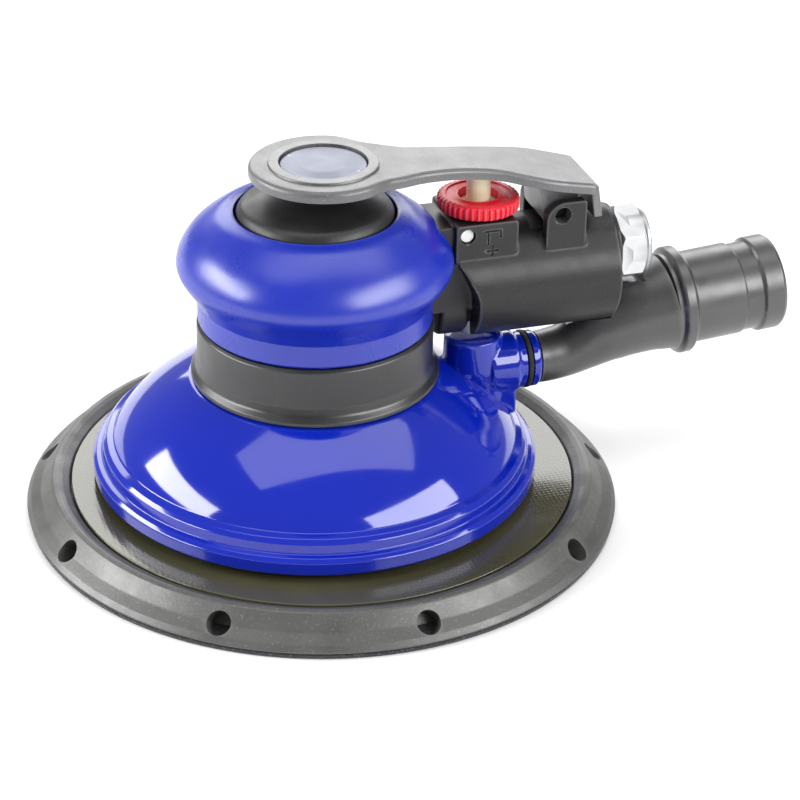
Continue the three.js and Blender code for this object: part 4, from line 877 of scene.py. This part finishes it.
# ---- Inlet bushing -------------------------------------------------------------------------------
def make_inlet():
    start = HANDLE_END + 1.7
    across, length = 10.2, 6.4
    corners = [
        [across * math.cos(math.radians(60 * k)), across * math.sin(math.radians(60 * k))] for k in range(6)
    ]
    line = []
    for i, corner in enumerate(corners):
        line.append([*corner, 0.4])
    rim = rounded(line, closed=True)
    rings = [[(x, y, z) for x, y in rim] for z in (start, start + length)]
    nut = loft("inlet_nut", rings)
    chamfer = lathe(
        "chamfer",
        [
            [0, start - 1], [9.3, start - 1], [9.3, start], [10.35, start + 0.75],
            [10.35, start + length - 0.75], [9.3, start + length], [9.3, start + length + 1],
            [0, start + length + 1],
        ],
        steps=160,
    )
    boolean(nut, [chamfer], "INTERSECT")
    shank = disc(6.6, HANDLE_END - 6, start + 1, steps=128, edge=0.3)
    end = NUT_HIGH[0]
    lip = lathe(
        "lip",
        rounded([[0, start + 2.8], [9.0, start + 2.8, 0], [9.0, start + length + 0.25, 0.2],
                 [9.2, start + length + 0.6, 0.3], [9.2, end - 0.5, 0.5], [8.4, end, 0.3], [0, end]]),
        steps=160,
    )
    boolean(nut, [shank, lip], "UNION")
    bore = disc(INLET_BORE, HANDLE_END - 8, end + 1, steps=128)
    mouth = lathe(
        "mouth",
        [[0, end - 1.1], [INLET_BORE, end - 1.1], [6.4, end + 0.1], [6.4, end + 1], [0, end + 1]],
        steps=128,
    )
    threads = [
        lathe(
            "thread",
            [[5.0, z], [INLET_BORE, z], [5.65, z + 0.35], [INLET_BORE, z + 0.7], [5.0, z + 0.7]],
            steps=96,
        )
        for z in np.arange(HANDLE_END - 2, end - 2, 1.25)
    ]
    boolean(nut, [bore, mouth, joined("threads", *threads)])
    dress(even(along_x(nut, INLET_Z)), "aluminium", "housing", "inlet_bushing")


make_inlet()


# ---- Regulator wheel, bush and stem --------------------------------------------------------------
def make_regulator():
    bottom, top = WHEEL_LOW[2], WHEEL_HIGH[2]
    radius, hole, ribs, sides = 10.3, 5.0, 40, 12
    height = top - bottom
    levels = [
        [0, hole + 0.3, 0], [0, 8.6, 0], [0.12, 9.2, 0.2], [0.45, radius - 0.3, 0.7], [0.8, radius - 0.03, 1],
        [height * 0.5, radius, 1], [height - 0.8, radius - 0.03, 1], [height - 0.45, radius - 0.3, 0.7],
        [height - 0.14, 9.2, 0.2], [height, 8.7, 0], [height, 8.2, 0], [height - 0.35, 7.9, 0],
        [height - 0.35, hole + 0.9, 0], [height - 0.1, hole + 0.6, 0], [height - 0.1, hole + 0.25, 0],
        [height - 0.35, hole, 0], [0.3, hole, 0],
    ]
    steps = ribs * sides
    points = []
    for i in range(steps):
        angle = 2 * math.pi * i / steps
        wave = 0.5 - 0.5 * math.tanh(2.4 * math.cos(2 * math.pi * i / sides)) / math.tanh(2.4)
        for up, r, depth in levels:
            reach = r - 0.62 * depth * wave
            points.append((VALVE_X + reach * math.cos(angle), reach * math.sin(angle), bottom + up))
    count = len(levels)
    faces = [
        (i * count + k, ((i + 1) % steps) * count + k, ((i + 1) % steps) * count + (k + 1) % count,
         i * count + (k + 1) % count)
        for i in range(steps)
        for k in range(count)
    ]
    wheel = mesh_piece("speed_wheel", points, faces, 40)
    dress(wheel, "red_plastic", "speed_regulator", "regulator_wheel")

    low, high = BUSH_LOW[2], BUSH_HIGH[2]
    bush = lathe(
        "wheel_bush",
        rounded([[3.35, low, 0.1], [4.7, low, 0.1], [4.7, high, 0.3], [3.35, high, 0.3]], closed=True),
        (VALVE_X, 0), 96,
    )
    dress(even(bush), "cream_plastic", "speed_regulator", "stem_bush")

    low, high = STEM_LOW[2], STEM_HIGH[2]
    seat = HANDLE_Z + 9.5
    stem = lathe(
        "push_stem",
        rounded([
            [0, low], [3.6, low, 0.2], [3.6, low + 0.7, 0.1], [1.4, low + 0.7, 0], [1.4, seat + 3.2, 0],
            [3.0, seat + 3.2, 0.2], [3.0, high - 0.6, 0.3], [2.4, high, 0.3], [0, high],
        ]),
        (VALVE_X, 0), 96,
    )
    dress(even(stem), "cream_plastic", "valve_stem", "valve_stem")


make_regulator()


# ---- Lever ---------------------------------------------------------------------------------------
DISC_X = (BADGE_LOW + BADGE_HIGH)[0] / 2
DISC_RADIUS = 18.2
LEVER_THICKNESS = 2.8
LEVER_ARM = [
    [0.23, 0.5, 13.0], [0.31, 1.1, 11.3], [0.41, 1.6, 8.9], [0.53, 2.0, 8.0], [0.64, 2.6, 8.0],
    [0.74, 3.5, 8.6], [0.84, 4.9, 10.2], [0.94, 6.3, 11.3], [1.04, 7.8, 10.9], [1.135, 9.2, 10.1],
]


def make_lever():
    arm = spline([[share * PIVOT_X, half, drop] for share, drop, half in LEVER_ARM], 90)
    turns = np.linspace(0.004, 2.02, 64)
    front = [[DISC_X - DISC_RADIUS * math.cos(t), DISC_RADIUS * math.sin(t), 0] for t in turns]
    front = [p for p in front if p[0] < arm[0][0] - 0.4]
    drop_x = [DISC_X + DISC_RADIUS * 0.5, *arm[:, 0]]
    drop_z = [0.0, *arm[:, 2]]
    half_line = np.array([[x, w] for x, w, _ in front] + [[x, w] for x, w, _ in arm])
    smooth = half_line.copy()
    for _ in range(6):
        smooth[1:-1] = 0.25 * smooth[:-2] + 0.5 * smooth[1:-1] + 0.25 * smooth[2:]
    blend_in = np.clip((half_line[:, 0] - 4) / 6, 0, 1)[:, None]
    half_line = half_line * (1 - blend_in) + smooth * blend_in
    tangents = np.gradient(half_line, axis=0)
    normals = np.stack([-tangents[:, 1], tangents[:, 0]], 1)
    normals /= np.linalg.norm(normals, axis=1)[:, None]
    normals[0] = (-1, 0)
    low_edge = 0.35
    top_edge = 1.3
    rings = [(0.9, -LEVER_THICKNESS), (low_edge, -LEVER_THICKNESS), (0.1, -LEVER_THICKNESS + 0.1),
             (0, -LEVER_THICKNESS + low_edge), (0, -top_edge)]
    for k in range(1, 7):
        angle = math.radians(15 * k)
        rings.append((top_edge * (1 - math.cos(angle)), -top_edge * (1 - math.sin(angle))))
    rings += [(2.2, 0.0), (3.2, 0.0)]
    count = len(half_line)
    points = []
    for inset, up in rings:
        for side in (1, -1):
            for (x, w), (nx, nw) in zip(half_line, normals):
                inward = min(inset, max(w, 0.02) * 0.98) if nx > -0.6 else inset
                px, pw = x - nx * inward, max(w - nw * inward, 0)
                z = LEVER_TOP - float(np.interp(px, drop_x, drop_z)) + up
                points.append((px, side * pw, z))
    faces = []
    for r in range(len(rings) - 1):
        for side in range(2):
            for i in range(count - 1):
                a = (r * 2 + side) * count + i
                b = a + 2 * count
                faces.append((a, a + 1, b + 1, b))
        a, b = (r * 2) * count, (r * 2 + 1) * count
        faces.append((a, b, b + 2 * count, a + 2 * count))
        faces.append((a + count - 1, b + count - 1, b + 3 * count - 1, a + 3 * count - 1))
    for r in (0, len(rings) - 1):
        a, b = (r * 2) * count, (r * 2 + 1) * count
        for i in range(count - 1):
            faces.append((a + i, a + i + 1, b + i + 1, b + i))
    plate = mesh_piece("plate", points, faces)

    rear_x = 1.135 * PIVOT_X
    rear_top = LEVER_TOP - 9.2
    rear = slab(
        "rear",
        [
            [rear_x - 1.4, rear_top - 0.1, 0], [rear_x + 0.9, rear_top - 0.3, 0.9],
            [rear_x + 2.35, rear_top - 9, 0.5], [rear_x + 0.1, rear_top - 9, 0.4],
        ],
        -9.8, 9.8, 0.4,
    )

    def top_at(x):
        return LEVER_TOP - float(np.interp(x, drop_x, drop_z))

    lug = slab(
        "lug",
        [
            [PIVOT_X - 4, PIVOT_Z - 3.6, 3], [PIVOT_X + 4, PIVOT_Z - 3.6, 3],
            [PIVOT_X + 5.4, top_at(PIVOT_X + 5.4) - 1.4, 0], [PIVOT_X - 5.4, top_at(PIVOT_X - 5.4) - 1.4, 0],
        ],
        -6.45, 6.45,
    )
    boolean(plate, [rear, lug], "UNION")
    ridge = lathe(
        "ridge",
        rounded([[10.6, LEVER_TOP - 0.8], [10.6, LEVER_TOP + 0.48, 0.2], [13.3, LEVER_TOP + 0.48, 0.2],
                 [13.5, LEVER_TOP, 0.1], [13.5, LEVER_TOP - 0.8]], closed=True),
        (DISC_X, 0), 192,
    )
    boolean(plate, [ridge], "UNION")
    recess = lathe(
        "recess", [[0, LEVER_TOP - 1.2], [10.9, LEVER_TOP - 1.2], [10.9, LEVER_TOP + 3], [0, LEVER_TOP + 3]],
        (DISC_X, 0), 192,
    )
    pin_hole = across_y(disc(2.25, 0, 16, steps=64), PIVOT_X, PIVOT_Z, -8)
    boolean(plate, [recess, pin_hole])
    plate.name = "palm_lever"
    dress(even(plate), "lever_plastic", "lever", "throttle_lever")

    low, high = BADGE_LOW[2], BADGE_HIGH[2]
    badge = lathe(
        "lever_disc",
        rounded([
            [0, low], [10.5, low, 0.1], [10.5, low + 0.75, 0.25], [9.7, high - 0.42, 0.4],
            [9.2, high - 0.45, 0.3], [6, high - 0.12, 8], [0, high],
        ]),
        (DISC_X, 0), 192,
    )
    dress(even(badge), "badge_metal", "lever", "lever_badge")


make_lever()


# ---- Hose tail -----------------------------------------------------------------------------------
TAIL_LEG = [
    [58.8, 30.5, 6.7], [62, 30.7, 6.8], [67, 31.6, 7], [72, 33.8, 7.9], [77, 36.6, 9.4], [82, 38.8, 10.4],
    [88, 40.6, 11.4], [94, 41.8, 12.6],
]
TAIL_DUCT = [
    [57.8, 30.5, 4.8], [62, 30.7, 4.9], [67, 31.5, 5.1], [72, 33, 5.6], [77.5, 34.3, 5.2], [82, 38, 7.4],
    [88, 40.4, 9.2], [95, 41.9, 9.9],
]
TAIL_TILT = math.radians(4.5)
BARREL_LENGTH = 29.6


def leg_rings(stations, count, sides):
    """Round sections square to a line through stations of [x, z, radius]."""
    line = spline(stations, count)
    slopes = np.gradient(line[:, :2], axis=0)
    slopes /= np.linalg.norm(slopes, axis=1)[:, None]
    slopes[0] = (1, 0)
    rings = []
    for (x, z, radius), (ax, az) in zip(line, slopes):
        ring = []
        for j in range(sides):
            angle = 2 * math.pi * j / sides
            side, up = radius * math.cos(angle), radius * math.sin(angle)
            ring.append((x - az * up, side, z + ax * up))
        rings.append(ring)
    return rings


def make_tail():
    tilt = Matrix.Translation((94, 0, 41.8)) @ Matrix.Rotation(math.pi / 2 - TAIL_TILT, 4, "Y")
    leg = loft("leg", leg_rings(TAIL_LEG, 64, 96))
    barrel_gap = along_x(disc(HANDLE_RADIUS + 0.3, HANDLE_FRONT, HANDLE_END + 0.3, steps=160), HANDLE_Z)
    nut_gap = along_x(disc(10.9, HANDLE_END - 3, NUT_HIGH[0] + 0.3, steps=96), INLET_Z)
    duct = loft("duct", leg_rings(TAIL_DUCT, 48, 64))
    boolean(leg, [barrel_gap, nut_gap, duct])
    # The tail leg is shown in black plastic painted lighter: painted light.
    dress(leg, "black_plastic", "housing", "hose_tail", finish="tail_plastic_painted_light")
    leg.name = "tail_leg"

    end = BARREL_LENGTH
    barrel = lathe(
        "tail_barrel",
        rounded([
            [9.7, -0.3, 0], [12.5, -0.3, 0], [12.6, 0.6, 0.3], [13.7, 1.2, 0.4], [14, 1.6, 0.4],
            [14, 3.8, 0.5], [13.2, 4.4, 0.5], [12, 4.9, 0.8], [12, end * 0.62, 0.4], [11.5, end * 0.635, 0.3],
            [11.5, end - 6.3, 0.3], [12.4, end - 5.7, 0.5], [12.4, end - 0.9, 0.8], [11.8, end, 0.5],
            [10.4, end, 0.4], [9.8, end - 1.0, 0.4], [9.8, 3, 0], [9.7, 2, 0],
        ], closed=True),
        steps=192,
    )
    # The tail barrel is also shown in black plastic painted lighter: painted light.
    dress(even(placed(barrel, tilt)), "black_plastic", "housing", "hose_tail", finish="tail_plastic_painted_light")


make_tail()

# ---- CAD nodes that stay -------------------------------------------------------------------------
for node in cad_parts.values():
    for material_slot in node.material_slots:
        if material_slot.material and material_slot.material.name in MATERIALS:
            material_slot.material = MATERIALS[material_slot.material.name]


# ---- Floor, light and sky ------------------------------------------------------------------------
def floor():
    """A wide pale floor, which is part of the studio and not of the object."""
    bpy.ops.mesh.primitive_circle_add(vertices=96, radius=4.0, fill_type="NGON")
    plane = bpy.context.object
    plane.name = "studio_floor"
    material = bpy.data.materials.new("studio_floor")
    material.use_nodes = True
    shader = material.node_tree.nodes["Principled BSDF"]
    shader.inputs["Base Color"].default_value = (0.93, 0.93, 0.93, 1)
    shader.inputs["Roughness"].default_value = 0.9
    shader.inputs["Specular IOR Level"].default_value = 0.1
    plane.data.materials.append(material)


def softbox(name, place, target, width, height, watts):
    """A rectangular lamp that faces a target; its places are in metres."""
    data = bpy.data.lights.new(name, "AREA")
    data.shape = "RECTANGLE"
    data.size, data.size_y = width, height
    data.energy = watts
    lamp = bpy.data.objects.new(name, data)
    scene.collection.objects.link(lamp)
    lamp.location = place
    lamp.rotation_euler = (Vector(target) - Vector(place)).to_track_quat("-Z", "Y").to_euler()


floor()
softbox("strip", (-0.78, 0.14, 0.4), (0, 0, 0.04), 0.8, 0.26, 7.8)
softbox("overhead", (0.1, -0.07, 1.0), (0.1, -0.07, 0), 1.3, 0.45, 3.4)
softbox("front", (0.6, -0.66, 0.5), (0, 0, 0.04), 0.9, 0.42, 9.0)
softbox("back", (0.38, 1.15, 0.68), (0, 0, 0.05), 1.7, 0.7, 13.0)

world = bpy.data.worlds.new("sky")
scene.world = world
world.use_nodes = True
sky = world.node_tree.nodes["Background"].inputs
sky["Color"].default_value = (1, 1, 1, 1)
sky["Strength"].default_value = 0.3

scene.view_settings.view_transform = "Standard"
